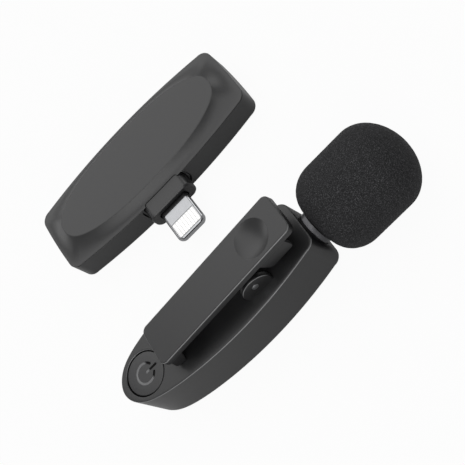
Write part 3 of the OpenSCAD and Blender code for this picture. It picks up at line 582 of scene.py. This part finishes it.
lamp_line = [(0, -5.5), (LAMP_MOUTH, -5.5), (LAMP_MOUTH, BOTTOM), (LAMP_R, -4.8), (LAMP_R, -3),
             (0, -3)]
lamp_cut = lathe("lamp_cut", lamp_line, MIC @ shifted(0, LAMP_Y, 0), 40)
combine(tub, "DIFFERENCE", neck_hole, slot_cut, lamp_cut)
finish(tub, "microphone", "housing_plastic", "front_housing")

# %% [markdown]
# ### Rear cover
#
# The cover plate fills the tub's recess, level with the rim and with no gap to be seen. It
# carries two ears for the hinge pin. Each ear is a round-topped plate with softened edges, and
# the button's hole has a tiny fillet.

# %% Rear cover with its ears
EAR_R, EAR_DROP, EAR_X, EAR_T, COVER_INSET = 2.9, 0.95, 3.5, 1, 0.703
profile = [(COVER_INSET, COVER + 0.02), (COVER_INSET, TOP)]
cover = loft("cover", [mic_outline(d, z) for d, z in profile], MIC)
low = -(PIN_Z - EAR_DROP - TOP) - 0.5
start = asin(low / EAR_R)
ear_line = [(EAR_R * cos(a), EAR_R * sin(a)) for a in np.linspace(start, pi - start, 72)]
for x0 in both_sides(EAR_X, EAR_T):
    ear = prism("ear", ear_line, x0, x0 + EAR_T,
                MIC @ shifted(0, HINGE_Y, PIN_Z - EAR_DROP) @ ALONG_X, 0.16)
    combine(cover, "UNION", ear)
BUTTON_Y, HOLE_R, BORE_R = -37.9, 4.07, 0.65
hole = [(0, 3), (HOLE_R, 3)] + fillet_in(TOP, 0.2, HOLE_R, 4)
hole += [(4.3, TOP + 0.02), (4.3, 7), (0, 7)]
button_hole = lathe("button_hole", hole, MIC @ shifted(0, BUTTON_Y, 0), 128)
pin_bore = lathe("pin_bore", rod(BORE_R, -5, 5), HINGE @ ALONG_X, 48)
combine(cover, "DIFFERENCE", button_hole, pin_bore)
finish(cover, "microphone", "housing_plastic", "rear_cover")

# %% [markdown]
# ### Hinge pin and spring
#
# A ground pin about 1.2 mm thick joins ears and clip, and its flat end shows in the ear. A
# torsion spring of 0.4 mm wire is wound on it: one leg lies on the cover, the other lifts the
# thumb end and goes down with it. The spring is fixed where it lies and hangs on neither body.

# %% Pin and spring
PIN_R, PIN_END, PIN_EDGE = 0.62, 4.58, 0.05
rim = [(PIN_R - PIN_EDGE * (1 - cos(a)), PIN_END - PIN_EDGE * (1 - sin(a))) for a in quarter(3)]
pin_line = [(0, -PIN_END)] + [(r, -h) for r, h in reversed(rim)] + rim + [(0, PIN_END)]
pin = lathe("pin", pin_line, HINGE @ ALONG_X, 48)
finish(pin, "microphone", "pin_steel", "hinge_pin")

TURNS, COIL_R, WIRE_R, LEG, WIRE_GAP = 3.5, 1.3, 0.2, 5.2, 0.05
LUG_X, LUG_T, PLATE_LOW = 2.0, 1, 2.2
pitch = 2 * (LUG_X - WIRE_R - 0.25) / TURNS
coil_start = -TURNS * pitch / 2
foot_z, rise = TOP + WIRE_R + WIRE_GAP - PIN_Z, PLATE_LOW - WIRE_R - WIRE_GAP
slope = radians(CLIP_SLOPE)
reach = (LEG * cos(slope) - rise * sin(slope), LEG * sin(slope) + rise * cos(slope))
path = [(coil_start, LEG * t, -COIL_R + (foot_z + COIL_R) * t) for t in np.linspace(1, 0.05, 12)]
for t in np.linspace(0, TURNS, 113):
    a = -pi / 2 - 2 * pi * t
    path.append((coil_start + pitch * t, COIL_R * cos(a), COIL_R * sin(a)))
path += [(-coil_start, reach[0] * t, COIL_R + (reach[1] - COIL_R) * t)
         for t in np.linspace(0.05, 1, 12)]
spring = sweep("spring", path, WIRE_R, HINGE)
coil_low, coil_high = [tuple((HINGE @ shifted(0, 0, z)).translation) for z in (-COIL_R, COIL_R)]
finish(spring, "microphone", "spring_steel", "clip_spring",
       bend=("microphone", "lapel_clip", coil_low, coil_high))

# %% [markdown]
# ### Neck
#
# The neck is a turned tube with a flange inside the housing. Between the housing and the foam a
# ring of it shows, with softened edges, and it holds the capsule in its far end.

# %% Neck tube
neck_profile = [(1.5, -2.02), (3.65, -2.02), (3.65, -1.22), (3.25, -1.22), (3.25, 0.83),
                (3.22, 0.9), (3.15, 0.95), (3.0, 0.95), (3.0, 8.8), (2.9, 8.9), (2.22, 8.9),
                (2.22, 6.6), (1.5, 6.6)]
neck = lathe("neck", neck_profile, MIC @ ALONG_Y, 128, ring=True)
finish(neck, "microphone", "neck_metal", "neck_tube")

# %% [markdown]
# ### Power button
#
# A round cap that lies 0.16 mm below the cover, with a softened edge and a power sign: a ring
# open at the top with a bar through the opening. The sign is cut 0.15 mm deep with a round-nosed
# tool, so its grooves have round bottoms and round ends. Light and shade are painted into the
# grooves: grey low in the sign, black at its top.

# %% Button with its sign
BUTTON_R, SUNK, SKIRT, SOFTENED = 3.9, 0.16, 4.0, 0.16
FACE = TOP - SUNK
spot = MIC @ shifted(0, BUTTON_Y, 0)
cap = [(0, SKIRT), (BUTTON_R, SKIRT)]
cap += [(BUTTON_R - SOFTENED * (1 - cos(a)), FACE - SOFTENED * (1 - sin(a)))
        for a in quarter(5)]
button = lathe("button", cap + [(0, FACE)], spot, 128)
stem = lathe("stem", rod(0.9, 3.52, 4.1), spot, 40)
tabs = [bar("tab", block(w, h, 0.1, 3.7, 4.15, 0.05), MIC @ shifted(0, BUTTON_Y + y, 0))
        for w, h, y in ((8.6, 1.2, 1.2), (2.4, 4.5, 2.3))]
combine(button, "UNION", stem, *tabs)
GROOVE, SIGN_RING, END_TURN = 0.26, 1.85, 0.12
opening = radians(21)
arc = [(SIGN_RING * sin(a), SIGN_RING * cos(a), 0)
       for a in np.linspace(opening + END_TURN, 2 * pi - opening - END_TURN, 90)]
stroke = [(0, 0.31, 0), (0, 1.4, 0), (0, 2.57, 0)]
for line in (arc, stroke):
    groove = sweep("groove", line, GROOVE, MIC @ shifted(0, BUTTON_Y, FACE + 0.11), 24,
                   round_ends=True)
    combine(button, "DIFFERENCE", groove)
finish(button, "button", "button_plastic", "power_button")

# %% [markdown]
# ### Clip
#
# The clip is a long flat plate, 1.5 mm thick, with a thumb dish, two stiffening ribs under the
# thumb end, two lugs round the pin and a toothed lip at the jaw. Its upper edge is softened by
# just under 0.3 mm, which catches a fine light line, and a painted highlight on its +X side makes
# that line paler. The dish is a ball's cap, sunk 0.9 mm, and keeps a crisp rim. The plate is
# lofted, and the rest is joined to it or cut from it.

# %% Clip
PLATE_T, PLATE_W, PLATE_L, JAW = 1.5, 8.3, 32.6, 20.4
plate_top = PLATE_LOW + PLATE_T
turns = fillet_out(PLATE_LOW, 0.15, steps=4) + fillet_in(plate_top, 0.28, steps=6)
stations = [(z, PLATE_W - 2 * d, PLATE_L - 2 * d, 1.3 - d) for d, z in turns]
clip = bar("clip_plate", stations, CLIP @ shifted(0, PLATE_L / 2 - JAW, 0), 12)
DISH, DISH_R, DISH_Y = 0.9, 3.5, 5.7
BALL = (DISH_R ** 2 + DISH ** 2) / (2 * DISH)
cap_angle = acos((BALL - DISH - 0.2) / BALL)
dish = [(0, -BALL)]
dish += [(BALL * sin(a), -BALL * cos(a)) for a in np.linspace(0, cap_angle, 25)[1:]]
dish += [(0, dish[-1][1])]
ball = lathe("dish", dish, CLIP @ shifted(0, DISH_Y, plate_top - DISH + BALL), 128)
combine(clip, "DIFFERENCE", ball)


def rounded_polygon(corners, steps=6):
    """Corners are x, y and fillet radius."""
    points = []
    for i, (x, y, r) in enumerate(corners):
        here = Vector((x, y))
        a = (Vector(corners[i - 1][:2]) - here).normalized()
        b = (Vector(corners[(i + 1) % len(corners)][:2]) - here).normalized()
        if r == 0:
            points.append((x, y))
            continue
        half = a.angle(b) / 2
        centre = here + (a + b).normalized() * (r / sin(half))
        p, q = here + a * (r / np.tan(half)) - centre, here + b * (r / np.tan(half)) - centre
        for t in range(steps + 1):
            points.append(tuple(centre + (p * (1 - t / steps) + q * (t / steps)).normalized() * r))
    return points


RIB_X, RIB_T, RIB_LOW, LUG_R, IN_PLATE = 3.1, 0.9, -0.7, 1.55, 2.5
rib = rounded_polygon([(3.2, IN_PLATE, 0), (4.0, -0.12, 0.5), (4.6, RIB_LOW, 0.4),
                       (9.4, RIB_LOW, 0.6), (9.4, IN_PLATE, 0)])
lug = [(LUG_R * cos(a), LUG_R * sin(a)) for a in np.linspace(-pi, 0, 33)]
lug += [(LUG_R, IN_PLATE), (-LUG_R, IN_PLATE)]
for rib_x, lug_x in zip(both_sides(RIB_X, RIB_T), both_sides(LUG_X, LUG_T)):
    combine(clip, "UNION", prism("rib", rib, rib_x, rib_x + RIB_T, CLIP @ ALONG_X, 0.1))
    combine(clip, "UNION", prism("lug", lug, lug_x, lug_x + LUG_T, CLIP @ ALONG_X, 0.08))
jaw_y, jaw_z, lip_z = -31.513, 8.371, 5.46
lip = rounded_polygon([(jaw_y, jaw_z, 0), (jaw_y - 0.3, lip_z + 0.6, 0.3),
                       (jaw_y + 0.2, lip_z, 0.15), (jaw_y + 1.5, lip_z, 0.15),
                       (jaw_y + 2, lip_z + 0.9, 0.3), (jaw_y + 2.8, jaw_z + 0.15, 0)])
combine(clip, "UNION", prism("lip", lip, -4.0, 4.0, MIC @ ALONG_X, 0.1))
TOOTH, TOOTH_PITCH = 0.25, 0.55
for k in (0, 1):
    spot = MIC @ shifted(0, jaw_y + TOOTH_PITCH + TOOTH_PITCH * k, lip_z)
    tooth = bar("tooth", [(z, TOOTH, TOOTH, 0.02) for z in (-5, 5)],
                spot @ turned(45, "X") @ ALONG_X)
    combine(clip, "DIFFERENCE", tooth)
clip_bore = lathe("clip_bore", rod(BORE_R, -5, 5), HINGE @ ALONG_X, 48)
combine(clip, "DIFFERENCE", clip_bore)
finish(clip, "lapel_clip", "clip_plastic", "clip")

# %% [markdown]
# ### Foam windscreen
#
# The windscreen is a moulded foam ball, longer than it is wide, with a bore for the neck. It is
# soft and full, so it keeps its shape and only flattens a little where it rests. A fine grid of
# points is run round the axis and each is moved in or out by noise of about the pores' size, so
# the edge of the foam is truly rough. Shading alone would leave a smooth, plastic outline.

# %% Foam
GAP, FOAM_R, FACE_R, BACK, DOME, FOAM_L = 1.1, 8.35, 3.65, 5.5, 6.6, 20.0
BORE, BORE_END, MOUTH = 3.05, 9.55, 0.25
line = [(0.0, BORE_END), (BORE, BORE_END), (BORE, GAP + MOUTH)]
line += [(BORE + MOUTH * (1 - cos(a)), GAP + MOUTH * (1 - sin(a))) for a in quarter(3)]
line += [(FACE_R + (FOAM_R - FACE_R) * sin(a), GAP + BACK * (1 - cos(a))) for a in quarter(48)]
line += [(FOAM_R * cos(a), GAP + FOAM_L - DOME * (1 - sin(a))) for a in quarter(64)]
line[-1] = (0.0, GAP + FOAM_L)
steps_along = [hypot(b[0] - a[0], b[1] - a[1]) for a, b in zip(line, line[1:])]
run = np.concatenate([[0], np.cumsum(steps_along)])
STEP = 0.2
even = np.arange(0, run[-1], STEP)
even[-1] = run[-1]
radius = np.interp(even, run, [p[0] for p in line])
height = np.interp(even, run, [p[1] for p in line])
profile = [(float(max(r, 0.02)), float(h)) for r, h in zip(radius, height)]
profile[0], profile[-1] = (0.0, profile[0][1]), (0.0, profile[-1][1])
foam = lathe("foam", profile, MIC @ ALONG_Y, 256)
foam.data.shade_smooth()
place, back = foam.matrix_world.copy(), foam.matrix_world.inverted()
outward = [v.normal.copy() for v in foam.data.vertices]
# The bore stays smooth: only what lies outside this radius, or beyond this height, is rough
ROUGH_R, ROUGH_Z = 3.3, 9.8
PORE, PORE_DEEP, LUMP, LUMP_DEEP = 0.4, 0.02, 1.7, 0.015
moved = []
for vertex, normal in zip(foam.data.vertices, outward):
    p = vertex.co / MM
    if hypot(p.x, p.y) > ROUGH_R or p.z > ROUGH_Z:
        p += normal * (noise.noise(p / PORE) * PORE_DEEP + noise.noise(p / LUMP) * LUMP_DEEP
                       - PORE_DEEP)
    world = place @ (p * MM)
    world.z = max(world.z, 0.0)
    moved += list(back @ world)
foam.data.vertices.foreach_set("co", moved)
foam.data.update()
finish(foam, "windscreen", "foam", "foam_windscreen")

# %% [markdown]
# ## Receiver
#
# ### Outlines
#
# The receiver is a slim bar with bowed sides. Its label side is an oval plateau, and between the
# plateau and the wall runs a bevel that sinks fast at first and flattens out. The bevel's lines
# run square to the long axis, and towards the ends they turn to one point of that axis, which
# leaves a soft ridge at each corner.

# %% Outlines of the receiver
RX_LEN, RX_W, RX_SIDE_R, RX_CORNER_R, END_BOW = 47.7, 19.0, 140.0, 2.2, 0.15
CREASE, RX_TOP, LABEL_L, LABEL_W, OVAL = 5.8, 7.4, 40.6, 14.3, 2.3


def rx_half(y, d):
    return RX_W / 2 - d - y * y / (2 * RX_SIDE_R)


def rx_outline(d):
    r = max(RX_CORNER_R - d, 0.5)
    yc = RX_LEN / 2 - END_BOW - d - r
    xe = rx_half(yc, d) - r
    top = [(rx_half(yc, d) - r * (1 - cos(a)), yc + r * sin(a)) for a in quarter(14)[1:]]
    top += [(xe * t, yc + r + END_BOW * (1 - t * t)) for t in np.linspace(1, 0, 13)[1:]]
    side = [(rx_half(y, d), y) for y in np.linspace(-yc, yc, 61)]
    right = [(x, -y) for x, y in reversed(top)] + side + top
    return right + [(-x, y) for x, y in reversed(right[1:-1])]


core = RX_LEN / 2 - rx_half(RX_LEN / 2, 0)


def label_outline(inset):
    """Where the straight way from the long axis to the rim leaves the label's oval."""
    a, b, found = LABEL_W / 2 - inset, LABEL_L / 2 - inset, []
    for x, y in rx_outline(0):
        cy = max(-core, min(core, y))
        lo, hi = 0.0, 1.0
        for _ in range(30):
            t = (lo + hi) / 2
            px, py = abs(x * t) / a, abs(cy + (y - cy) * t) / b
            lo, hi = (t, hi) if px ** OVAL + py ** OVAL < 1 else (lo, t)
        found.append((x * lo, cy + (y - cy) * lo))
    return found


def between(a, b, t):
    return [(p[0] * (1 - t) + q[0] * t, p[1] * (1 - t) + q[1] * t) for p, q in zip(a, b)]


def at(outline, z):
    return [(x, y, z) for x, y in outline]


print("points in the receiver's outline:", len(rx_outline(0)))

# %% [markdown]
# ### Upper shell
#
# The bevel is drawn with about two dozen rings, so that its curve shades evenly. Its outer edge
# is rolled by 0.1 mm, and below it a groove 0.22 mm deep marks the parting line.

# %% Upper shell
PART, PARTING_DEEP, RX_WALL, SEAT, BEVEL_RINGS = 5.68, 0.22, 1.1, 1.15, 26
edge, label, inner = rx_outline(0), label_outline(0), label_outline(0.9)
rings = [at(inner, RX_TOP - 1), at(inner, PART - 0.8), at(rx_outline(SEAT), PART - 0.8)]
rings += [at(rx_outline(d), PART + 0.02) for d in (SEAT, PARTING_DEEP, 0.02)]
rings += [at(edge, PART + 0.05)]
rings += [at(rx_outline(0.1 * (1 - cos(a))), PART + 0.05 + 0.07 * sin(a)) for a in quarter(4)[1:4]]
hem = rx_outline(0.1)
for t in [i / BEVEL_RINGS for i in range(BEVEL_RINGS)] + [0.985]:
    rings.append(at(between(hem, label, t), CREASE + (RX_TOP - CREASE) * t ** 1.7))
rings += [at(label_outline(0.05), RX_TOP - 0.012), at(label_outline(0.2), RX_TOP)]
shell_top = loft("shell_top", rings, RECEIVER)
room = bar("room", block(3.0, 13.2, 0.1, 0, 5.63, 0.02),
           RECEIVER @ shifted(RX_W / 2 - RX_WALL - 1.5, PLUG_SIDE, 0))
PLUG = RECEIVER @ shifted(0, PLUG_SIDE, PLUG_HEIGHT) @ ALONG_X
collar_mouth = [(x, 10.64, 4.44, 1.62) for x in (8.09, 12.5)]
combine(shell_top, "DIFFERENCE", room, bar("top_mouth", collar_mouth, PLUG, 12))
finish(shell_top, "receiver", "receiver_plastic", "receiver_top")

# %% [markdown]
# ### Lower shell
#
# The lower shell has the walls and the floor. Round the plug's collar the wall is sunk by half
# a millimetre, with a chamfered edge, and inside are two posts for the board's screws.

# %% Lower shell
profile = fillet_out(0, 0.8, steps=7) + [(0, PART - 0.1), (0.03, PART - 0.07)]
profile += [(PARTING_DEEP, PART - 0.07), (PARTING_DEEP, PART), (RX_WALL, PART), (RX_WALL, 1.4),
            (1.4, RX_WALL)]
shell_base = loft("shell_base", [at(rx_outline(d), z) for d, z in profile], RECEIVER)
for y in (-16, 16):
    spot = RECEIVER @ shifted(0, y, 0)
    combine(shell_base, "UNION", lathe("post", rod(POST_R, 0.5, 3.3), spot, 48))
    combine(shell_base, "DIFFERENCE", lathe("pilot", rod(PILOT_R, RX_WALL, 3.8), spot, 32))
collar_cut = bar("collar_cut", collar_mouth, PLUG, 12)
sunk_cut = bar("sunk_cut", [(9.0, 11.3, 4.8, 1.8), (9.2, 11.45, 4.85, 1.85),
                            (9.5, 12.0, 4.9, 2.0), (10.5, 13.0, 5.0, 2.3)], PLUG, 12)
rx_lamp_line = [(0, -1), (LAMP_MOUTH, -1), (LAMP_MOUTH, 0), (LAMP_R, 0.1), (LAMP_R, 3), (0, 3)]
rx_lamp_cut = lathe("rx_lamp_cut", rx_lamp_line, RECEIVER @ shifted(0, 9, 0), 40)
combine(shell_base, "DIFFERENCE", collar_cut, sunk_cut, rx_lamp_cut)
finish(shell_base, "receiver", "receiver_plastic", "receiver_base")

# %% [markdown]
# ### Collar
#
# A rounded block stiffens the plug's root. Its front edge is chamfered, and a black pocket goes
# round the plug. A flange inside the wall holds it.

# %% Collar of the plug
COLLAR_X, FLANGE_X = 12.4, 8.2
flange = bar("flange", block(12.0, 3.5, 1.0, FLANGE_X - 0.8, FLANGE_X, 0.05), PLUG, 12)
turns = [(0.0, FLANGE_X - 0.1), (0.0, COLLAR_X - 0.36), (0.03, COLLAR_X - 0.28),
         (0.26, COLLAR_X - 0.03), (0.32, COLLAR_X)]
collar = bar("collar", [(z, 10.4 - 2 * d, 4.2 - 2 * d, 1.5 - d) for d, z in turns], PLUG, 14)
combine(collar, "UNION", flange)
plug_bore = bar("plug_bore", [(x, 6.74, 1.54, 0.75) for x in (6, 14)], PLUG, 10)
pocket = bar("pocket", [(COLLAR_X - 0.8, 7.0, 1.9, 0.6), (COLLAR_X - 0.08, 7.0, 1.9, 0.6),
                        (COLLAR_X + 0.02, 7.16, 2.06, 0.66), (COLLAR_X + 1, 7.2, 2.1, 0.68)],
             PLUG, 10)
combine(collar, "DIFFERENCE", plug_bore, pocket)
finish(collar, "receiver", "receiver_plastic", "plug_collar")

# %% [markdown]
# ### Plug
#
# The plug is a drawn and polished steel frame round a pale moulding that holds eight contacts on
# each side. The frame's nose is rounded in both directions, so it slides in easily, and its
# window has round corners and a fine softened edge that shows as a grey line.

# %% Plug: frame, moulding and contacts
BASE_X, TIP_X, NOSE, PLUG_W, PLUG_T = 13.25, 19.95, 0.5, 6.7, 1.5
WINDOW_X, WINDOW_L, WINDOW_W = 15.85, 3.6, 5.6
TURN, LIP = 1.2, 0.45
stations = [(BASE_X, PLUG_W, PLUG_T, PLUG_T / 2 - 0.03)]
for a in quarter(14):
    x = TIP_X - TURN + TURN * sin(a)
    wide = PLUG_W - 2 * TURN * (1 - cos(a))
    thin = PLUG_T - 2 * (LIP - sqrt(max(0.0, LIP ** 2 - max(0.0, x - (TIP_X - LIP)) ** 2)))
    if a > 1.5:
        thin = 0.8
    stations.append((x, wide, thin, thin / 2 - 0.03))
plug_frame = bar("plug_frame", stations, PLUG, 10)
hollow = bar("hollow", [(x, WINDOW_W, 0.8, 0.1) for x in (11, TIP_X - NOSE)], PLUG)
window = [(z, WINDOW_L + 2 * d, WINDOW_W + 2 * d, 0.35 + d) for d, z in
          [(0.12, 1.2), (0.10, 0.76), (0.03, 0.72), (0.0, 0.66), (0.0, 0.0)]]
face = RECEIVER @ shifted(WINDOW_X + WINDOW_L / 2, PLUG_SIDE, PLUG_HEIGHT)
windows = [bar("window", window, face), bar("window", window, face @ turned(180, "X"))]
combine(plug_frame, "DIFFERENCE", hollow, *windows)
finish(plug_frame, "receiver", "plug_steel", "plug_shell")

CORE_BACK, CORE_W = FLANGE_X - 1.6, WINDOW_W - 0.04
root = bar("plug_root", [(x, PLUG_W, PLUG_T, 0.72) for x in (CORE_BACK, BASE_X - 0.02)], PLUG, 10)
moulding = bar("moulding", [(x, CORE_W, 0.76, 0.08) for x in (BASE_X - 0.01, TIP_X - NOSE - 0.02)],
               PLUG)
pane = bar("pane", block(WINDOW_L - 0.16, CORE_W, 0.33, -0.65, 0.65, 0.02),
           face @ shifted(-0.06, 0, 0))
combine(moulding, "UNION", pane)
slot_ends = (CORE_BACK - 1, CORE_BACK + 1.2)
board_slot = bar("board_slot", [(x, 2 * PLUG_W, 0.84, 0.01) for x in slot_ends], PLUG)
combine(root, "DIFFERENCE", board_slot)
finish(root, "receiver", "receiver_plastic", "plug_insulator")
PAD_L, PAD_W, PAD_T, PAD_CORNER, PAD_PITCH = 3.1, 0.4, 0.12, 0.12, 0.65
pads = [(PAD_PITCH * (k - 3.5), z0) for k in range(8) for z0 in (-0.66, 0.54)]
for y, z0 in pads:
    seat = bar("pad_seat", [(z, PAD_L, PAD_W, PAD_CORNER) for z in (z0, z0 + PAD_T)],
               face @ shifted(0, y, 0))
    combine(moulding, "DIFFERENCE", seat)
finish(moulding, "receiver", "plug_moulding", "plug_insulator")

contacts = None
for y, z0 in pads:
    pad = bar("contact", block(PAD_L, PAD_W, PAD_CORNER, z0, z0 + PAD_T, 0.004),
              face @ shifted(0, y, 0))
    contacts = pad if contacts is None else combine(contacts, "UNION", pad)
contacts.name = "contacts"
finish(contacts, "receiver", "contact_plating", "plug_contacts")

# %% [markdown]
# ## Parts that keep their CAD shape
#
# The boards, screws, screening cans, battery, socket, switch, capsule and light guides are true
# to size in the CAD model and mostly hidden, so they only get the finish of their slot.

# %% Finishes of the carried-over parts
kept = {
    "main_board": "circuit_board", "receiver_board": "circuit_board", "board_screws": "screw_steel",
    "receiver_screws": "screw_steel", "radio_shield": "shield_tin", "receiver_shield": "shield_tin",
    "power_switch": "socket_steel", "battery": "battery_pouch", "charging_socket": "socket_steel",
    "status_light": "light_lens", "receiver_light": "light_lens", "capsule": "capsule_can",
    "capsule_grille": "grille_steel", "capsule_leads": "lead_jacket",
}
for name, slot in kept.items():
    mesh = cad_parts[name].data
    mesh.materials.clear()
    mesh.materials.append(finish_of[slot])
print("pieces made:", len(finished), "CAD nodes kept:", len(kept))

# %% [markdown]
# ## Table, light and camera
#
# The set lies on a plain white table. Seen directly, the table glows almost white by itself, so
# its own paint can be an ordinary pale one that still takes the soft shadows. In a reflection it
# is a darker grey, so the black plastic does not wash out, and the sky is made in the same way.

# %% Table and sky
LARGER = {"operation": "MAXIMUM"}


def seen_share(tree, straight, mirrored):
    """How white the background is when it is looked at, and when it is seen in a gloss."""
    ray = add(tree, "LightPath").outputs
    clear = add(tree, "Math", LARGER, i0=ray["Is Camera Ray"], i1=ray["Is Transmission Ray"])
    clear = add(tree, "Math", TIMES, i0=clear.outputs[0], i1=straight)
    gloss = add(tree, "Math", TIMES, i0=ray["Is Glossy Ray"], i1=mirrored)
    return add(tree, "Math", LARGER, i0=clear.outputs[0], i1=gloss.outputs[0]).outputs[0]


HALF, UNDER = 900, -0.05
corners = [(-HALF, -HALF, UNDER), (HALF, -HALF, UNDER), (HALF, HALF, UNDER), (-HALF, HALF, UNDER)]
table = new_piece("table", corners, [(0, 1, 2, 3)], Matrix())
material = bpy.data.materials.new("painted_table_white")
material.use_nodes = True
tree = material.node_tree
tree.nodes.clear()
where = add(tree, "TexCoord").outputs["Object"]
grain = add(tree, "TexNoise", Vector=where, Scale=per_mm(30)).outputs["Fac"]
paint = add(tree, "BsdfDiffuse", Color=ramp(tree, grain, (0.2, "#c6c6c6"), (0.8, "#cacaca")))
glow = add(tree, "Emission", Color=linear("#ffffff"), Strength=1.0)
share = seen_share(tree, 0.95, 0.25)
mixed = add(tree, "MixShader", Fac=share, i1=paint.outputs[0], i2=glow.outputs[0])
add(tree, "OutputMaterial", Surface=mixed.outputs[0])
table.data.materials.append(material)

world = bpy.data.worlds.new("studio")
bpy.context.scene.world = world
world.use_nodes = True
tree = world.node_tree
tree.nodes.clear()
seen = seen_share(tree, 1.0, 0.22)
fill = add(tree, "Background", Color=linear("#ffffff"), Strength=0.32)
white = add(tree, "Background", Color=linear("#ffffff"), Strength=1.0)
mixed = add(tree, "MixShader", Fac=seen, i1=fill.outputs[0], i2=white.outputs[0])
add(tree, "OutputWorld", Surface=mixed.outputs[0])


# %% [markdown]
# Six soft lamps do the rest. The large key lamp, high on one side, is the strongest, and a weak
# one hangs overhead. The next stands high on the other side. One beyond the foam and two low
# ones reach the upright walls.

# %% Lamps
def soft_lamp(name, place, wide, tall, power):
    lamp = bpy.data.lights.new(name, "AREA")
    lamp.shape, lamp.size, lamp.size_y, lamp.energy = "RECTANGLE", wide, tall, power
    holder = bpy.data.objects.new(name, lamp)
    bpy.context.scene.collection.objects.link(holder)
    holder.location = place
    holder.rotation_euler = (Vector((0, 0, 0)) - Vector(place)).to_track_quat("-Z", "Y").to_euler()


soft_lamp("key", (-0.35, -0.06, 0.50), 0.62, 0.92, 2.3)
soft_lamp("top", (0.14, 0.03, 0.70), 0.28, 0.26, 0.42)
soft_lamp("side", (0.40, -0.14, 0.42), 0.32, 0.50, 1.1)
soft_lamp("back", (-0.42, 0.54, 0.30), 0.40, 0.30, 0.7)
soft_lamp("low", (-0.455, -0.58, 0.13), 0.35, 0.25, 0.34)
soft_lamp("right", (0.54, -0.10, 0.15), 0.20, 0.26, 0.5)

# %% [markdown]
# The camera looks down on the set at 54 degrees, turned so that both bodies lie along the
# view's diagonal.

# %% Camera
camera = bpy.data.cameras.new("camera")
camera.sensor_width, camera.lens = 36, 82.5
camera.clip_start, camera.clip_end = 0.01, 20
eye = bpy.data.objects.new("camera", camera)
bpy.context.scene.collection.objects.link(eye)
right, up, behind = [(0.48393, 0.71372, -0.50638), (-0.67065, 0.67419, 0.30933),
                     (0.56217, 0.18991, 0.80492)]
spot = (0.11470, 0.03509, 0.15816)
rows = [[right[i], up[i], behind[i], spot[i]] for i in range(3)]
eye.matrix_world = Matrix(rows + [[0, 0, 0, 1]])
bpy.context.scene.camera = eye
bpy.context.scene.view_settings.view_transform = "Standard"
